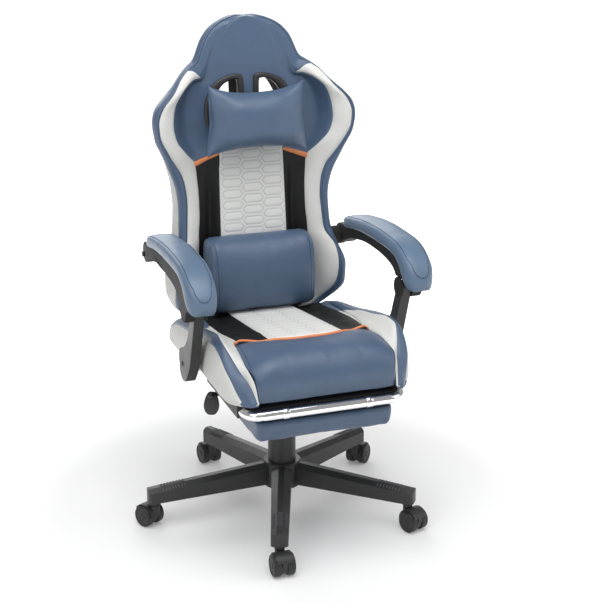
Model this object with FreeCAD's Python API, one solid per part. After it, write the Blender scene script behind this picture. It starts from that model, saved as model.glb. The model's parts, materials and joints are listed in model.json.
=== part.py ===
import FreeCAD, Part
import math
import os

# Reclining gaming chair with a gas lift, a rocking mechanism, a sliding footrest and linked armrests.
# Millimetres. X points to the sitter's left, Y towards the back, Z up.
# The origin is on the floor, on the axis of the column.

os.makedirs("parts", exist_ok=True)
V = FreeCAD.Vector
ORIGIN, AX, AY, AZ = V(0, 0, 0), V(1, 0, 0), V(0, 1, 0), V(0, 0, 1)

# ---- driving dimensions -----------------------------------------------------------------------

FIT = 0.05            # radial clearance of a turning or sliding fit
CLEAR = 0.3           # gap between pieces that must not rub
SKIN = 0.4            # foam clearance around the steel that runs through it

# star base and casters
ARM_COUNT = 5
STAR_TURN = -20.0     # how far the base is turned under the seat, degrees
PIVOT_RADIUS = 338.0
HUB_RADIUS, HUB_TOP, HUB_BOTTOM = 50.0, 143.0, 75.0
ARM_TOP_ROOT, ARM_TOP_TIP = 142.0, 107.0
ARM_FOOT_ROOT, ARM_FOOT_TIP = 86.0, 70.0
ARM_WIDTH_ROOT, ARM_WIDTH_TIP = 52.0, 42.0
ARM_RIDGE, ARM_SHOULDER, ARM_WALL = 15.0, 9.0, 4.0
RIB_COUNT, RIB_WALL, RIB_RECESS = 3, 3.0, 2.0
SOCKET_BOTTOM, SOCKET_RADIUS = 63.5, 14.0
TIP_RADIUS = PIVOT_RADIUS + SOCKET_RADIUS + ARM_WALL
WHEEL_RADIUS, WHEEL_WIDTH, WHEEL_BORE = 28.0, 20.0, 3.0
WEB, TRAIL = 13.0, 22.0
HOOD_WIDTH, HOOD_GAP, HOOD_WALL, HOOD_BOSS = 42.0, 1.2, 2.4, 12.0
STEM_RADIUS, STEM_TOP, STEM_COLLAR = 5.0, 96.0, 2.0
CASTER_HEADINGS = (-92.0, -70.0, 46.0, 98.0, 118.0)

# gas lift
OUTER_TUBE_RADIUS, OUTER_TUBE_TOP, OUTER_TUBE_BOTTOM = 25.0, 262.0, 62.0
FLOOR_WALL = 4.0
CYLINDER_RADIUS, CYLINDER_WALL = 14.0, 2.0
CYLINDER_BOTTOM, CYLINDER_TOP, CYLINDER_CAP = 110.0, 358.0, 8.0
TAPER_LENGTH, TAPER_DROP = 22.0, 0.8
PISTON_ROD_RADIUS, PISTON_TOP, PISTON_HEIGHT = 5.0, 180.0, 10.0
BEARING_HEIGHT = 6.0
VALVE_RADIUS, VALVE_LENGTH, VALVE_RISE, VALVE_TRAVEL = 4.0, 24.0, 3.8, 3.9
COVER_RADIUS, COVER_WALL, COVER_LOWER_TOP, COVER_UPPER_BOTTOM = 35.5, 2.4, 250.0, 190.0

# rocking mechanism
TRAY_HALF_WIDTH, TRAY_FRONT, TRAY_REAR = 72.0, -95.0, 95.0
TRAY_BOTTOM, TRAY_TOP, TRAY_REAR_TOP, TRAY_WALL = 336.0, 392.0, 352.0, 3.0
TILT_Y, TILT_Z, TILT_RADIUS = -40.0, 378.0, 6.0
KNOB_Y, KNOB_RADIUS, KNOB_TOP, KNOB_HEIGHT, BOLT_RADIUS = -70.0, 26.0, 328.0, 30.0, 5.0
SPRING_RADIUS, SPRING_WIRE = 16.0, 2.5
LEVER_Z, LEVER_RADIUS, BUSH_RADIUS, BUSH_FLARE, LEVER_PULL = 366.8, 4.0, 7.5, 1.2, 8.0
PADDLE_X, PADDLE_Y = -216.0, -72.0
FLANGE_GAP, PLATE_THICK = 2.0, 4.0
PLATE_FRONT, PLATE_REAR, PLATE_TOP = -95.0, 118.0, 406.0

# seat
FRAME_TUBE, FRAME_HALF_WIDTH, FRAME_FRONT, FRAME_REAR, FRAME_CORNER = 10.0, 165.0, -235.0, 205.0, 45.0
FRAME_LIFT = 4.0         # cross bars between seat plate and frame tube
FRAME_Z = PLATE_TOP + FRAME_LIFT + FRAME_TUBE
CROSS_WIDTH, CROSS_FRONT, CROSS_REAR = 40.0, -60.0, 88.0
SEAT_OVERHANG, SEAT_FRONT, SEAT_REAR = 15.0, -336.0, 191.0
SEAT_HALF_WIDTH = FRAME_HALF_WIDTH + FRAME_TUBE + SEAT_OVERHANG
SEAT_FRONT_TOP, SEAT_REAR_TOP = 546.0, 498.0
BOLSTER_WIDTH = 40.0
BOLSTER_HALF_WIDTH = SEAT_HALF_WIDTH + BOLSTER_WIDTH

# footrest
RAIL_RADIUS, RAIL_FRONT, RAIL_REAR, RAIL_BEND = 12.5, -332.0, -50.0, 38.0
SLEEVE_FRONT, SLEEVE_REAR, SLEEVE_WALL, SLEEVE_GAP = -292.0, -46.0, 2.5, 5.0
RAIL_X = FRAME_HALF_WIDTH + FRAME_TUBE + SLEEVE_GAP + SLEEVE_WALL + RAIL_RADIUS
RAIL_Z = FRAME_Z - 5.0
REST_SIDE, REST_FRONT, REST_REAR, REST_HEIGHT = 28.0, -318.0, -113.0, 52.0
REST_HALF_WIDTH = RAIL_X - REST_SIDE
REST_TOP = RAIL_Z - RAIL_RADIUS - 2.5
REST_BOTTOM = REST_TOP - REST_HEIGHT
REST_BOARD, REST_RIM, REST_HINGE_X, REST_HINGE_WIDTH, REST_HINGE_WALL = 5.0, 8.0, 110.0, 24.0, 3.0

# back and recliner
HINGE_BEHIND, HINGE_ABOVE, HINGE_PIN, HINGE_DISC = 20.0, 20.0, 8.0, 22.0
HINGE_Y, HINGE_Z = FRAME_REAR + HINGE_BEHIND, FRAME_Z + HINGE_ABOVE
HINGE_PLATE, HINGE_CLEARANCE, HINGE_ARM_LENGTH = 6.0, 36.0, 85.0
BACK_TUBE, BACK_FRAME_TOP, BACK_FRAME_BEND = 11.0, 950.0, 60.0
BACK_LEG_X = FRAME_HALF_WIDTH + FRAME_TUBE - HINGE_PLATE - BACK_TUBE
BACK_LEG_BOTTOM, BACK_FRAME_DEPTH, BACK_LEAN = 464.0, 45.0, 0.09
BACK_BOTTOM, BACK_FRONT_AT_BOTTOM, BACK_DEPTH, PANEL_INSET = 478.0, 196.0, 86.0, 1.5
OPENING_BOTTOM, OPENING_TOP, OPENING_INNER, OPENING_OUTER = 972.0, 1096.0, 38.0, 112.0
BEZEL_WALL, BEZEL_LIP, BEZEL_LIP_THICK = 3.5, 5.0, 3.0
STRAP_WIDTH, STRAP_THICK, STRAP_X = 28.0, 2.5, 62.0
PILLOW_Z, PILLOW_Y, PILLOW_HALF_WIDTH, PILLOW_FRONT, PILLOW_REAR = 998.0, 183.0, 134.0, 134.0, 229.0
PILLOW_HALF_HEIGHT, PILLOW_CORNER_RISE, PILLOW_EDGE = 63.0, 28.0, 4.0

LUMBAR_BOTTOM, LUMBAR_TOP, LUMBAR_FRONT, LUMBAR_HALF_WIDTH, LUMBAR_GAP = 512.0, 702.0, 120.0, 138.0, 0.9

# recline release lever
RELEASE_GAP, RELEASE_THICK, RELEASE_LENGTH = 4.0, 6.0, 100.0
RELEASE_X = BOLSTER_HALF_WIDTH + RELEASE_GAP

# armrests: rear pivot on the back, front pivot on the link, lower pivot of the link on the seat
ARM_REAR_Y, ARM_REAR_Z = 244.0, 655.0
ARM_FRONT_Y, ARM_FRONT_Z = -165.0, 632.0
LINK_FOOT_Y, LINK_FOOT_Z = -62.0, 463.0
PAD_HALF_WIDTH, BRACKET_HALF_WIDTH = 37.5, 23.0
PIVOT_PIN, FRONT_PIN, FRONT_GAP = 7.0, 4.0, 4.6
LINK_STANDOFF, LINK_THICK, CHEEK = 20.0, 25.0, 5.0
LINK_X = BOLSTER_HALF_WIDTH + LINK_STANDOFF
ARM_X = LINK_X + LINK_THICK + 2.0
LINK_EYE, DISC_RADIUS, DISC_THICK, HUB_REACH = 17.0, 25.0, 6.0, 28.0


# ---- drawing helpers --------------------------------------------------------------------------

def on_yz(x):
    return lambda u, v: V(x, u, v)


def on_xz(y):
    return lambda u, v: V(u, y, v)


def on_xy(z):
    return lambda u, v: V(u, v, z)


def outline(corners, place):
    """Closed wire through corners (u, v, radius); each corner is rounded by a tangent arc."""
    starts, mids, ends = [], [], []
    count = len(corners)
    for index, (u, v, radius) in enumerate(corners):
        here = V(u, v, 0)
        back = V(corners[index - 1][0], corners[index - 1][1], 0) - here
        ahead = V(corners[(index + 1) % count][0], corners[(index + 1) % count][1], 0) - here
        half = back.getAngle(ahead) / 2
        reach = min(radius / math.tan(half), 0.48 * min(back.Length, ahead.Length))
        radius = reach * math.tan(half)
        back.normalize()
        ahead.normalize()
        middle = back + ahead
        middle.normalize()
        starts.append(here + back * reach)
        ends.append(here + ahead * reach)
        mids.append(here + middle * (radius / math.sin(half) - radius))
    edges = []
    for index in range(count):
        if (ends[index] - starts[index]).Length > 1e-6:
            three = [place(p.x, p.y) for p in (starts[index], mids[index], ends[index])]
            edges.append(Part.Arc(*three).toShape())
        after = starts[(index + 1) % count]
        edges.append(Part.makeLine(place(ends[index].x, ends[index].y), place(after.x, after.y)))
    return Part.Wire(edges)


def path(start, steps, place):
    """Wire from start through steps: (u, v) draws a line, (via_u, via_v, u, v) an arc."""
    here = place(*start)
    edges = []
    for step in steps:
        there = place(*step[-2:])
        if len(step) == 4:
            edges.append(Part.Arc(here, place(*step[:2]), there).toShape())
        else:
            edges.append(Part.makeLine(here, there))
        here = there
    return Part.Wire(edges)


def prism(wire, way):
    return Part.Face(wire).extrude(way)


def block(x, y, z):
    return Part.makeBox(x[1] - x[0], y[1] - y[0], z[1] - z[0], V(x[0], y[0], z[0]))


def rod(start, end, radius):
    return Part.makeCylinder(radius, (end - start).Length, start, end - start)


def tube(start, end, outer, inner):
    return rod(start, end, outer).cut(rod(start, end, inner))


def joined(shapes):
    return shapes[0].fuse(shapes[1:]).removeSplitter()


def mirrored(shape):
    return shape.mirror(ORIGIN, AX)


def both_sides(shape):
    return [shape, mirrored(shape)]


def turned(shape, centre, axis, angle):
    copy = shape.copy()
    copy.rotate(centre, axis, angle)
    return copy


def cut_edges(shape, size, wanted):
    """Chamfers the edges that the test picks."""
    edges = [edge for edge in shape.Edges if wanted(edge)]
    return shape.makeChamfer(size, edges) if edges else shape


def soft_edges(shape, radius, wanted):
    """Rounds the edges that the test picks."""
    edges = [edge for edge in shape.Edges if wanted(edge)]
    return shape.makeFillet(radius, edges) if edges else shape


def save(name, solids):
    solids = [solid for shape in solids for solid in shape.Solids]
    shape = solids[0] if len(solids) == 1 else Part.makeCompound(solids)
    shape.exportStep("parts/" + name + ".step")


# ---- star base --------------------------------------------------------------------------------

def arm_directions():
    return [-90.0 + STAR_TURN + 360.0 / ARM_COUNT * index for index in range(ARM_COUNT)]


def arm_section(x, width, foot, top, ridge, shoulder):
    half = width / 2
    corners = [(-half, foot, 0), (half, foot, 0), (half, top - shoulder, 0), (ridge / 2, top, 0),
               (-ridge / 2, top, 0), (-half, top - shoulder, 0)]
    return outline(corners, on_yz(x))


def star_arm():
    inside = HUB_RADIUS * 0.6
    outer = Part.makeLoft([
        arm_section(inside, ARM_WIDTH_ROOT, ARM_FOOT_ROOT, ARM_TOP_ROOT, ARM_RIDGE, ARM_SHOULDER),
        arm_section(TIP_RADIUS + 5, ARM_WIDTH_TIP, ARM_FOOT_TIP, ARM_TOP_TIP, ARM_RIDGE, ARM_SHOULDER),
    ], True, True)
    plan = outline([(0, -HUB_RADIUS, 0), (TIP_RADIUS, -HUB_RADIUS * 0.45, 16),
                    (TIP_RADIUS, HUB_RADIUS * 0.45, 16),
                    (0, HUB_RADIUS, 0)], on_xy(0))
    outer = outer.common(prism(plan, AZ * (HUB_TOP + ARM_SHOULDER)))
    wall = ARM_WALL
    start, end = HUB_RADIUS + wall, PIVOT_RADIUS - SOCKET_RADIUS - wall
    cavity = Part.makeLoft([
        arm_section(start, ARM_WIDTH_ROOT - 2 * wall, ARM_FOOT_ROOT - wall, ARM_TOP_ROOT - wall,
                    ARM_RIDGE, ARM_SHOULDER),
        arm_section(end, ARM_WIDTH_TIP - 2 * wall, ARM_FOOT_TIP - wall, ARM_TOP_TIP - wall,
                    ARM_RIDGE, ARM_SHOULDER),
    ], True, True)
    for index in range(RIB_COUNT):
        x = start + (end - start) * (index + 1) / (RIB_COUNT + 1)
        cavity = cavity.cut(block((x - RIB_WALL / 2, x + RIB_WALL / 2), (-ARM_WIDTH_ROOT, ARM_WIDTH_ROOT),
                                  (ARM_FOOT_ROOT + RIB_RECESS, HUB_TOP)))
    arm = outer.cut(cavity)
    socket = rod(V(PIVOT_RADIUS, 0, SOCKET_BOTTOM), V(PIVOT_RADIUS, 0, ARM_FOOT_TIP + 6), SOCKET_RADIUS)
    arm = joined([arm, socket])
    bore = rod(V(PIVOT_RADIUS, 0, 0), V(PIVOT_RADIUS, 0, STEM_TOP + CLEAR), STEM_RADIUS + FIT)
    return arm.cut(bore)


def star_base():
    hub = rod(V(0, 0, HUB_BOTTOM), V(0, 0, HUB_TOP), HUB_RADIUS)
    hub = cut_edges(hub, 3.0, lambda edge: edge.Length > 6 * HUB_RADIUS)
    arm = star_arm()
    shape = joined([hub] + [turned(arm, ORIGIN, AZ, angle) for angle in arm_directions()])
    bore = rod(V(0, 0, 0), V(0, 0, HUB_TOP + HUB_RADIUS), OUTER_TUBE_RADIUS + FIT)
    return shape.cut(bore)


# ---- casters ----------------------------------------------------------------------------------
# Each caster is drawn with its stem on the Z axis, trailing towards +X, then turned and moved out.

WHEEL_CENTRE = V(TRAIL, 0, WHEEL_RADIUS)
WHEEL_INNER = WEB / 2 + 1.0


def caster_hood():
    top = WHEEL_RADIUS + HOOD_GAP + HOOD_WALL
    centre = WHEEL_CENTRE
    half = AY * (HOOD_WIDTH / 2)
    shell = rod(centre - half, centre + half, top)
    keep = block((centre.x - 2 * top, centre.x + top * 0.82), (-HOOD_WIDTH, HOOD_WIDTH),
                 (centre.z + 2.0, centre.z + 2 * top))
    boss = rod(V(0, 0, centre.z + 6), V(0, 0, centre.z + top), HOOD_BOSS)
    web = rod(centre - AY * (WEB / 2), centre + AY * (WEB / 2), WHEEL_RADIUS - 4)
    hood = joined([shell.common(keep), boss])
    for side in (-1, 1):
        inner = centre + AY * (side * WEB / 2)
        outer = centre + AY * (side * HOOD_WIDTH)
        hood = hood.cut(rod(inner, outer, WHEEL_RADIUS + HOOD_GAP))
    hood = joined([hood, web])
    hood = hood.cut(rod(V(0, 0, centre.z + 2), V(0, 0, 3 * top), STEM_RADIUS + FIT))
    return hood.cut(rod(centre - half, centre + half, WHEEL_BORE + FIT))


def caster_stem():
    hood_top = 2 * WHEEL_RADIUS + HOOD_GAP + HOOD_WALL
    pin = rod(V(0, 0, WHEEL_RADIUS + 2 + CLEAR), V(0, 0, STEM_TOP), STEM_RADIUS)
    pin = cut_edges(pin, 1.5, lambda edge: edge.BoundBox.ZMin > STEM_TOP - 1)
    collar = rod(V(0, 0, hood_top), V(0, 0, hood_top + STEM_COLLAR - CLEAR), STEM_RADIUS + 3)
    half = AY * (WEB / 2 + 1 + WHEEL_WIDTH - 2.5)
    axle = rod(WHEEL_CENTRE - half, WHEEL_CENTRE + half, WHEEL_BORE)
    return [joined([pin, collar]), axle]


def caster_wheels():
    """Pair of twin wheels: rounded tread, dished outer face and hub cap, blind bore."""
    tread, inner, outer = WHEEL_RADIUS, WHEEL_INNER, WHEEL_INNER + WHEEL_WIDTH
    bore = WHEEL_BORE + FIT
    section = path((0, outer), [
        (7, outer), (9, outer - 1.5), (tread - 7, outer - 1.5), (tread - 5, outer), (tread - 2, outer - 1.2),
        (tread, outer - 4), (tread, inner + 3), (tread - 2, inner),
        (bore, inner), (bore, outer - 2.0), (0, outer - 2.0), (0, outer),
    ], lambda r, y: V(r, y, 0))
    wheel = Part.Face(section).revolve(ORIGIN, AY, 360)
    wheel.translate(WHEEL_CENTRE)
    return [wheel, wheel.mirror(ORIGIN, AY)]


def make_casters():
    for number, (angle, heading) in enumerate(zip(arm_directions(), CASTER_HEADINGS), 1):
        place = V(math.cos(math.radians(angle)), math.sin(math.radians(angle)), 0) * PIVOT_RADIUS

        def put(shape):
            shape = turned(shape, ORIGIN, AZ, heading)
            shape.translate(place)
            return shape

        save("caster_hood_%d" % number, [put(caster_hood())])
        save("caster_pins_%d" % number, [put(shape) for shape in caster_stem()])
        save("caster_wheels_%d" % number, [put(shape) for shape in caster_wheels()])


# ---- gas lift ---------------------------------------------------------------------------------

def gas_outer_tube():
    shape = rod(V(0, 0, OUTER_TUBE_BOTTOM), V(0, 0, OUTER_TUBE_TOP), OUTER_TUBE_RADIUS)
    shape = cut_edges(shape, 1.5, lambda edge: edge.BoundBox.ZMin > OUTER_TUBE_TOP - 1)
    shape = shape.cut(rod(V(0, 0, OUTER_TUBE_BOTTOM + FLOOR_WALL), V(0, 0, OUTER_TUBE_TOP + 1),
                          CYLINDER_RADIUS + FIT))
    return shape.cut(rod(V(0, 0, 0), V(0, 0, OUTER_TUBE_TOP), PISTON_ROD_RADIUS + FIT))


def thrust_bearing():
    floor = OUTER_TUBE_BOTTOM + FLOOR_WALL
    return tube(V(0, 0, floor), V(0, 0, floor + BEARING_HEIGHT), CYLINDER_RADIUS - 0.5, PISTON_ROD_RADIUS + FIT)


def piston_rod():
    seat = OUTER_TUBE_BOTTOM + FLOOR_WALL + BEARING_HEIGHT
    shaft = rod(V(0, 0, OUTER_TUBE_BOTTOM - 6), V(0, 0, PISTON_TOP), PISTON_ROD_RADIUS)
    collar = rod(V(0, 0, seat + FIT), V(0, 0, seat + 4), PISTON_ROD_RADIUS + 4)
    clip = rod(V(0, 0, OUTER_TUBE_BOTTOM - 3), V(0, 0, OUTER_TUBE_BOTTOM - FIT), PISTON_ROD_RADIUS + 3)
    piston = rod(V(0, 0, PISTON_TOP - PISTON_HEIGHT), V(0, 0, PISTON_TOP), CYLINDER_RADIUS - CYLINDER_WALL - FIT)
    return joined([shaft, collar, clip, piston])


def gas_cylinder():
    taper_start = CYLINDER_TOP - TAPER_LENGTH
    body = rod(V(0, 0, CYLINDER_BOTTOM), V(0, 0, taper_start), CYLINDER_RADIUS)
    taper = Part.makeCone(CYLINDER_RADIUS, CYLINDER_RADIUS - TAPER_DROP, TAPER_LENGTH, V(0, 0, taper_start))
    bore = rod(V(0, 0, CYLINDER_BOTTOM + CYLINDER_CAP), V(0, 0, taper_start - CYLINDER_CAP),
               CYLINDER_RADIUS - CYLINDER_WALL)
    rod_hole = rod(V(0, 0, 0), V(0, 0, taper_start - CYLINDER_CAP), PISTON_ROD_RADIUS + FIT)
    valve_floor = CYLINDER_TOP + VALVE_RISE - VALVE_LENGTH - VALVE_TRAVEL - CLEAR
    valve_hole = rod(V(0, 0, valve_floor), V(0, 0, CYLINDER_TOP + 1), VALVE_RADIUS + FIT)
    return joined([body, taper]).cut(bore).cut(rod_hole).cut(valve_hole)


def valve_button():
    top = CYLINDER_TOP + VALVE_RISE
    pin = rod(V(0, 0, top - VALVE_LENGTH), V(0, 0, top), VALVE_RADIUS)
    return cut_edges(pin, 1.0, lambda edge: edge.BoundBox.ZMin > top - 1)


def column_cover_lower():
    shape = tube(V(0, 0, HUB_TOP), V(0, 0, COVER_LOWER_TOP), COVER_RADIUS, COVER_RADIUS - COVER_WALL)
    foot = tube(V(0, 0, HUB_TOP), V(0, 0, HUB_TOP + 3), COVER_RADIUS, OUTER_TUBE_RADIUS + FIT)
    return joined([shape, foot])


def column_cover_upper():
    outer = COVER_RADIUS - COVER_WALL - CLEAR
    shape = tube(V(0, 0, COVER_UPPER_BOTTOM), V(0, 0, TRAY_BOTTOM), outer, outer - COVER_WALL)
    lid = tube(V(0, 0, TRAY_BOTTOM - 3), V(0, 0, TRAY_BOTTOM), outer, CYLINDER_RADIUS + FIT)
    return joined([shape, lid])


# ---- rocking mechanism ------------------------------------------------------------------------

def tray_side(margin, floor):
    """Side view of the mechanism tray: high at the tilt shaft, falling towards the rear."""
    return outline([(TRAY_FRONT + margin, floor, 6), (TRAY_REAR - margin, floor, 6),
                    (TRAY_REAR - margin, TRAY_REAR_TOP, 3), (TILT_Y + 20, TRAY_TOP, 12),
                    (TRAY_FRONT + margin, TRAY_TOP, 8)], on_yz(margin - TRAY_HALF_WIDTH))


def mechanism_housing():
    shape = prism(tray_side(0, TRAY_BOTTOM), AX * (2 * TRAY_HALF_WIDTH))
    hollow = prism(tray_side(TRAY_WALL, TRAY_BOTTOM + TRAY_WALL), AX * (2 * (TRAY_HALF_WIDTH - TRAY_WALL)))
    above = block((TRAY_WALL - TRAY_HALF_WIDTH, TRAY_HALF_WIDTH - TRAY_WALL),
                  (TRAY_FRONT + TRAY_WALL, TRAY_REAR - TRAY_WALL), (TRAY_REAR_TOP - 4, TRAY_TOP + 1))
    shape = shape.cut(hollow).cut(above)
    socket = rod(V(0, 0, TRAY_BOTTOM), V(0, 0, CYLINDER_TOP), CYLINDER_RADIUS + 6)
    shape = joined([shape, socket])
    taper = Part.makeCone(CYLINDER_RADIUS + FIT, CYLINDER_RADIUS - TAPER_DROP + FIT, TAPER_LENGTH,
                          V(0, 0, CYLINDER_TOP - TAPER_LENGTH))
    shape = shape.cut(taper)
    for x in (-TRAY_HALF_WIDTH, TRAY_HALF_WIDTH - TRAY_WALL):
        side = V(x, TILT_Y, TILT_Z)
        shape = shape.cut(rod(side - AX, side + AX * (TRAY_WALL + 1), TILT_RADIUS + FIT))
    wall = V(-TRAY_HALF_WIDTH, 0, LEVER_Z)
    shape = shape.cut(rod(wall - AX, wall + AX * (TRAY_WALL + 1), BUSH_RADIUS + FIT))
    return shape.cut(rod(V(0, KNOB_Y, 0), V(0, KNOB_Y, TRAY_BOTTOM + 2 * TRAY_WALL), BOLT_RADIUS + FIT))


def tilt_shaft():
    reach = TRAY_HALF_WIDTH + FLANGE_GAP + PLATE_THICK + 3
    shaft = rod(V(-reach, TILT_Y, TILT_Z), V(reach, TILT_Y, TILT_Z), TILT_RADIUS)
    return cut_edges(shaft, 1.2, lambda edge: abs(abs(edge.BoundBox.XMin) - reach) < 0.1)


def tension_spring():
    """Envelope of the compression spring around the tension bolt, on the tray floor."""
    floor = TRAY_BOTTOM + TRAY_WALL
    return tube(V(0, KNOB_Y, floor), V(0, KNOB_Y, TRAY_TOP - 10), SPRING_RADIUS, SPRING_RADIUS - 2 * SPRING_WIRE)


def tension_knob():
    """Ribbed hand knob under the tray, moulded on its bolt."""
    body = rod(V(0, KNOB_Y, KNOB_TOP - KNOB_HEIGHT), V(0, KNOB_Y, KNOB_TOP), KNOB_RADIUS)
    body = cut_edges(body, 3.0, lambda edge: edge.BoundBox.ZMax < KNOB_TOP - KNOB_HEIGHT + 1)
    grips = 10
    for index in range(grips):
        angle = 2 * math.pi * index / grips
        edge = V(math.cos(angle), math.sin(angle), 0) * (KNOB_RADIUS + 2.5) + V(0, KNOB_Y, 0)
        body = body.cut(rod(edge + AZ * (KNOB_TOP - KNOB_HEIGHT - 1), edge + AZ * (KNOB_TOP - 5), 5.0))
    bolt = rod(V(0, KNOB_Y, KNOB_TOP - 5), V(0, KNOB_Y, TRAY_TOP - 4), BOLT_RADIUS)
    return joined([body, bolt])


def lever_bush():
    """Bush in the tray wall, waisted inside so that the lever can rock in it."""
    wall = V(-TRAY_HALF_WIDTH, 0, LEVER_Z)
    inner, outer = TRAY_WALL + LEVER_PULL + 6, 9
    sleeve = rod(wall - AX * 6, wall + AX * inner, BUSH_RADIUS)
    head = rod(wall - AX * outer, wall - AX * 6, BUSH_RADIUS + 3)
    waist, mouth = LEVER_RADIUS + FIT, LEVER_RADIUS + BUSH_FLARE
    bore = Part.makeCone(waist, mouth, inner, wall, AX).fuse(Part.makeCone(waist, mouth, outer, wall, AX * -1))
    return joined([sleeve, head]).cut(bore)


def height_lever():
    """Bent steel rod from the valve, through the tray wall, out and forward to the paddle."""
    bend = PADDLE_X * 0.62
    corners = [V(LEVER_PULL + 3, 0, LEVER_Z), V(bend, 0, LEVER_Z), V(PADDLE_X + 12, PADDLE_Y + 12, LEVER_Z)]
    return bent_rod(corners, [24.0], LEVER_RADIUS)


def bent_rod(corners, radii, thickness):
    """Round bar along straight runs joined by tangent arcs."""
    edges = []
    here = corners[0]
    for corner, after, radius in zip(corners[1:], corners[2:], radii):
        back = here - corner
        ahead = after - corner
        half = back.getAngle(ahead) / 2
        reach = radius / math.tan(half)
        back.normalize()
        ahead.normalize()
        middle = back + ahead
        middle.normalize()
        start, end = corner + back * reach, corner + ahead * reach
        edges.append(Part.makeLine(here, start))
        edges.append(Part.Arc(start, corner + middle * (radius / math.sin(half) - radius), end).toShape())
        here = end
    edges.append(Part.makeLine(here, corners[-1]))
    spine = Part.Wire(edges)
    section = Part.Wire(Part.Circle(corners[0], corners[1] - corners[0], thickness).toShape())
    return spine.makePipeShell([section], True, False)


def lever_paddle():
    """Faceted finger paddle with a scooped top, pressed on the end of the rod."""
    plan = outline([(-26, -34, 6), (16, -38, 9), (28, -6, 10), (22, 34, 8), (-8, 38, 8), (-30, 4, 12)], on_xy(0))
    body = prism(plan, AZ * 16)
    slope = turned(block((-60, 60), (-60, 60), (12, 40)), V(0, 0, 12), AY, -10)
    scoop = Part.makeSphere(46, V(-4, -6, 54))
    body = body.cut(slope).cut(scoop)
    body.translate(V(PADDLE_X, PADDLE_Y, LEVER_Z - 8))
    return body.cut(height_lever())


def seat_plate():
    """Upper plate of the mechanism, folded down at both sides around the tilt shaft."""
    inner = TRAY_HALF_WIDTH + FLANGE_GAP
    outer = inner + PLATE_THICK
    underside = PLATE_TOP - PLATE_THICK
    shape = block((-outer, outer), (PLATE_FRONT, PLATE_REAR), (underside, PLATE_TOP))
    cheek = outline([(PLATE_FRONT + 20, underside + 1, 0), (PLATE_FRONT + 24, TILT_Z - 14, 14),
                     (TILT_Y + 14, TILT_Z - 14, 14), (TILT_Y + 44, underside + 1, 0)], on_yz(inner))
    cheek = prism(cheek, AX * PLATE_THICK)
    shape = joined([shape, cheek, mirrored(cheek)])
    reach = AX * (outer + 1)
    centre = V(0, TILT_Y, TILT_Z)
    return shape.cut(rod(centre - reach, centre + reach, TILT_RADIUS + FIT))


# ---- seat -------------------------------------------------------------------------------------

def frame_ring(radius):
    """Round tube bent to a rectangle with large corners."""
    x, front, rear, bend = FRAME_HALF_WIDTH, FRAME_FRONT, FRAME_REAR, FRAME_CORNER
    spine = outline([(-x, front, bend), (x, front, bend), (x, rear, bend), (-x, rear, bend)], on_xy(FRAME_Z))
    first = spine.OrderedEdges[1]
    start = first.valueAt(first.FirstParameter)
    section = Part.Wire(Part.Circle(start, first.tangentAt(first.FirstParameter), radius).toShape())
    ordered = Part.Wire(spine.OrderedEdges[1:] + spine.OrderedEdges[:1])
    return ordered.makePipeShell([section], True, False)


def seat_frame():
    ring = frame_ring(FRAME_TUBE)
    underside = FRAME_Z - FRAME_TUBE
    bars = [block((-FRAME_HALF_WIDTH, FRAME_HALF_WIDTH), (y - CROSS_WIDTH / 2, y + CROSS_WIDTH / 2),
                  (PLATE_TOP, underside + 2)) for y in (CROSS_FRONT, CROSS_REAR)]
    inner = FRAME_HALF_WIDTH + FRAME_TUBE
    arm = outline([(FRAME_REAR - HINGE_ARM_LENGTH, FRAME_Z - 2, 6), (FRAME_REAR - 30, FRAME_Z - 8, 10),
                   (HINGE_Y + 4, HINGE_Z - HINGE_DISC, 16), (HINGE_Y + HINGE_DISC, HINGE_Z - 8, 16),
                   (HINGE_Y + HINGE_DISC - 4, HINGE_Z + HINGE_DISC, 16), (HINGE_Y - 14, HINGE_Z + HINGE_DISC, 16),
                   (FRAME_REAR - HINGE_ARM_LENGTH, FRAME_Z + 8, 6)], on_yz(inner))
    arm = prism(arm, AX * HINGE_PLATE)
    weld = block((inner - 4, inner + 1), (FRAME_REAR - HINGE_ARM_LENGTH + 3, FRAME_REAR - FRAME_CORNER),
                 (FRAME_Z - 4, FRAME_Z + 4))
    arm = joined([arm, weld])
    shape = joined([ring] + bars + [arm, mirrored(arm)])
    pin = V(0, HINGE_Y, HINGE_Z)
    reach = AX * BOLSTER_HALF_WIDTH
    return shape.cut(rod(pin - reach, pin + reach, HINGE_PIN + FIT))


SEAT_BOTTOM = FRAME_Z + FRAME_TUBE + CLEAR


def seat_section(x, drop, setback):
    """Side view of the seat pad at one x: the front roll falls away towards the bolsters."""
    front = SEAT_FRONT + setback
    top = SEAT_FRONT_TOP - drop
    return outline([
        (front + 18, SEAT_BOTTOM, 8), (front, SEAT_BOTTOM + 0.45 * (top - SEAT_BOTTOM), 50),
        (front + 30 + drop, top, 40), (SEAT_FRONT + 150, top + drop * 0.55, 90),
        (SEAT_REAR - 44, SEAT_REAR_TOP - drop * 0.1, 30), (SEAT_REAR, SEAT_REAR_TOP - drop * 0.1 - 8, 18),
        (SEAT_REAR, SEAT_BOTTOM, 8)], on_yz(x))


def seat_cushion():
    side = SEAT_HALF_WIDTH - CLEAR
    rows = [(-side, 38, 32), (-side + 24, 18, 15), (-side + 70, 4, 3), (0, 0, 0),
            (side - 70, 4, 3), (side - 24, 18, 15), (side, 38, 32)]
    shape = Part.makeLoft([seat_section(*row) for row in rows], True, False)
    return shape.cut(hinge_arm_space())


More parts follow.
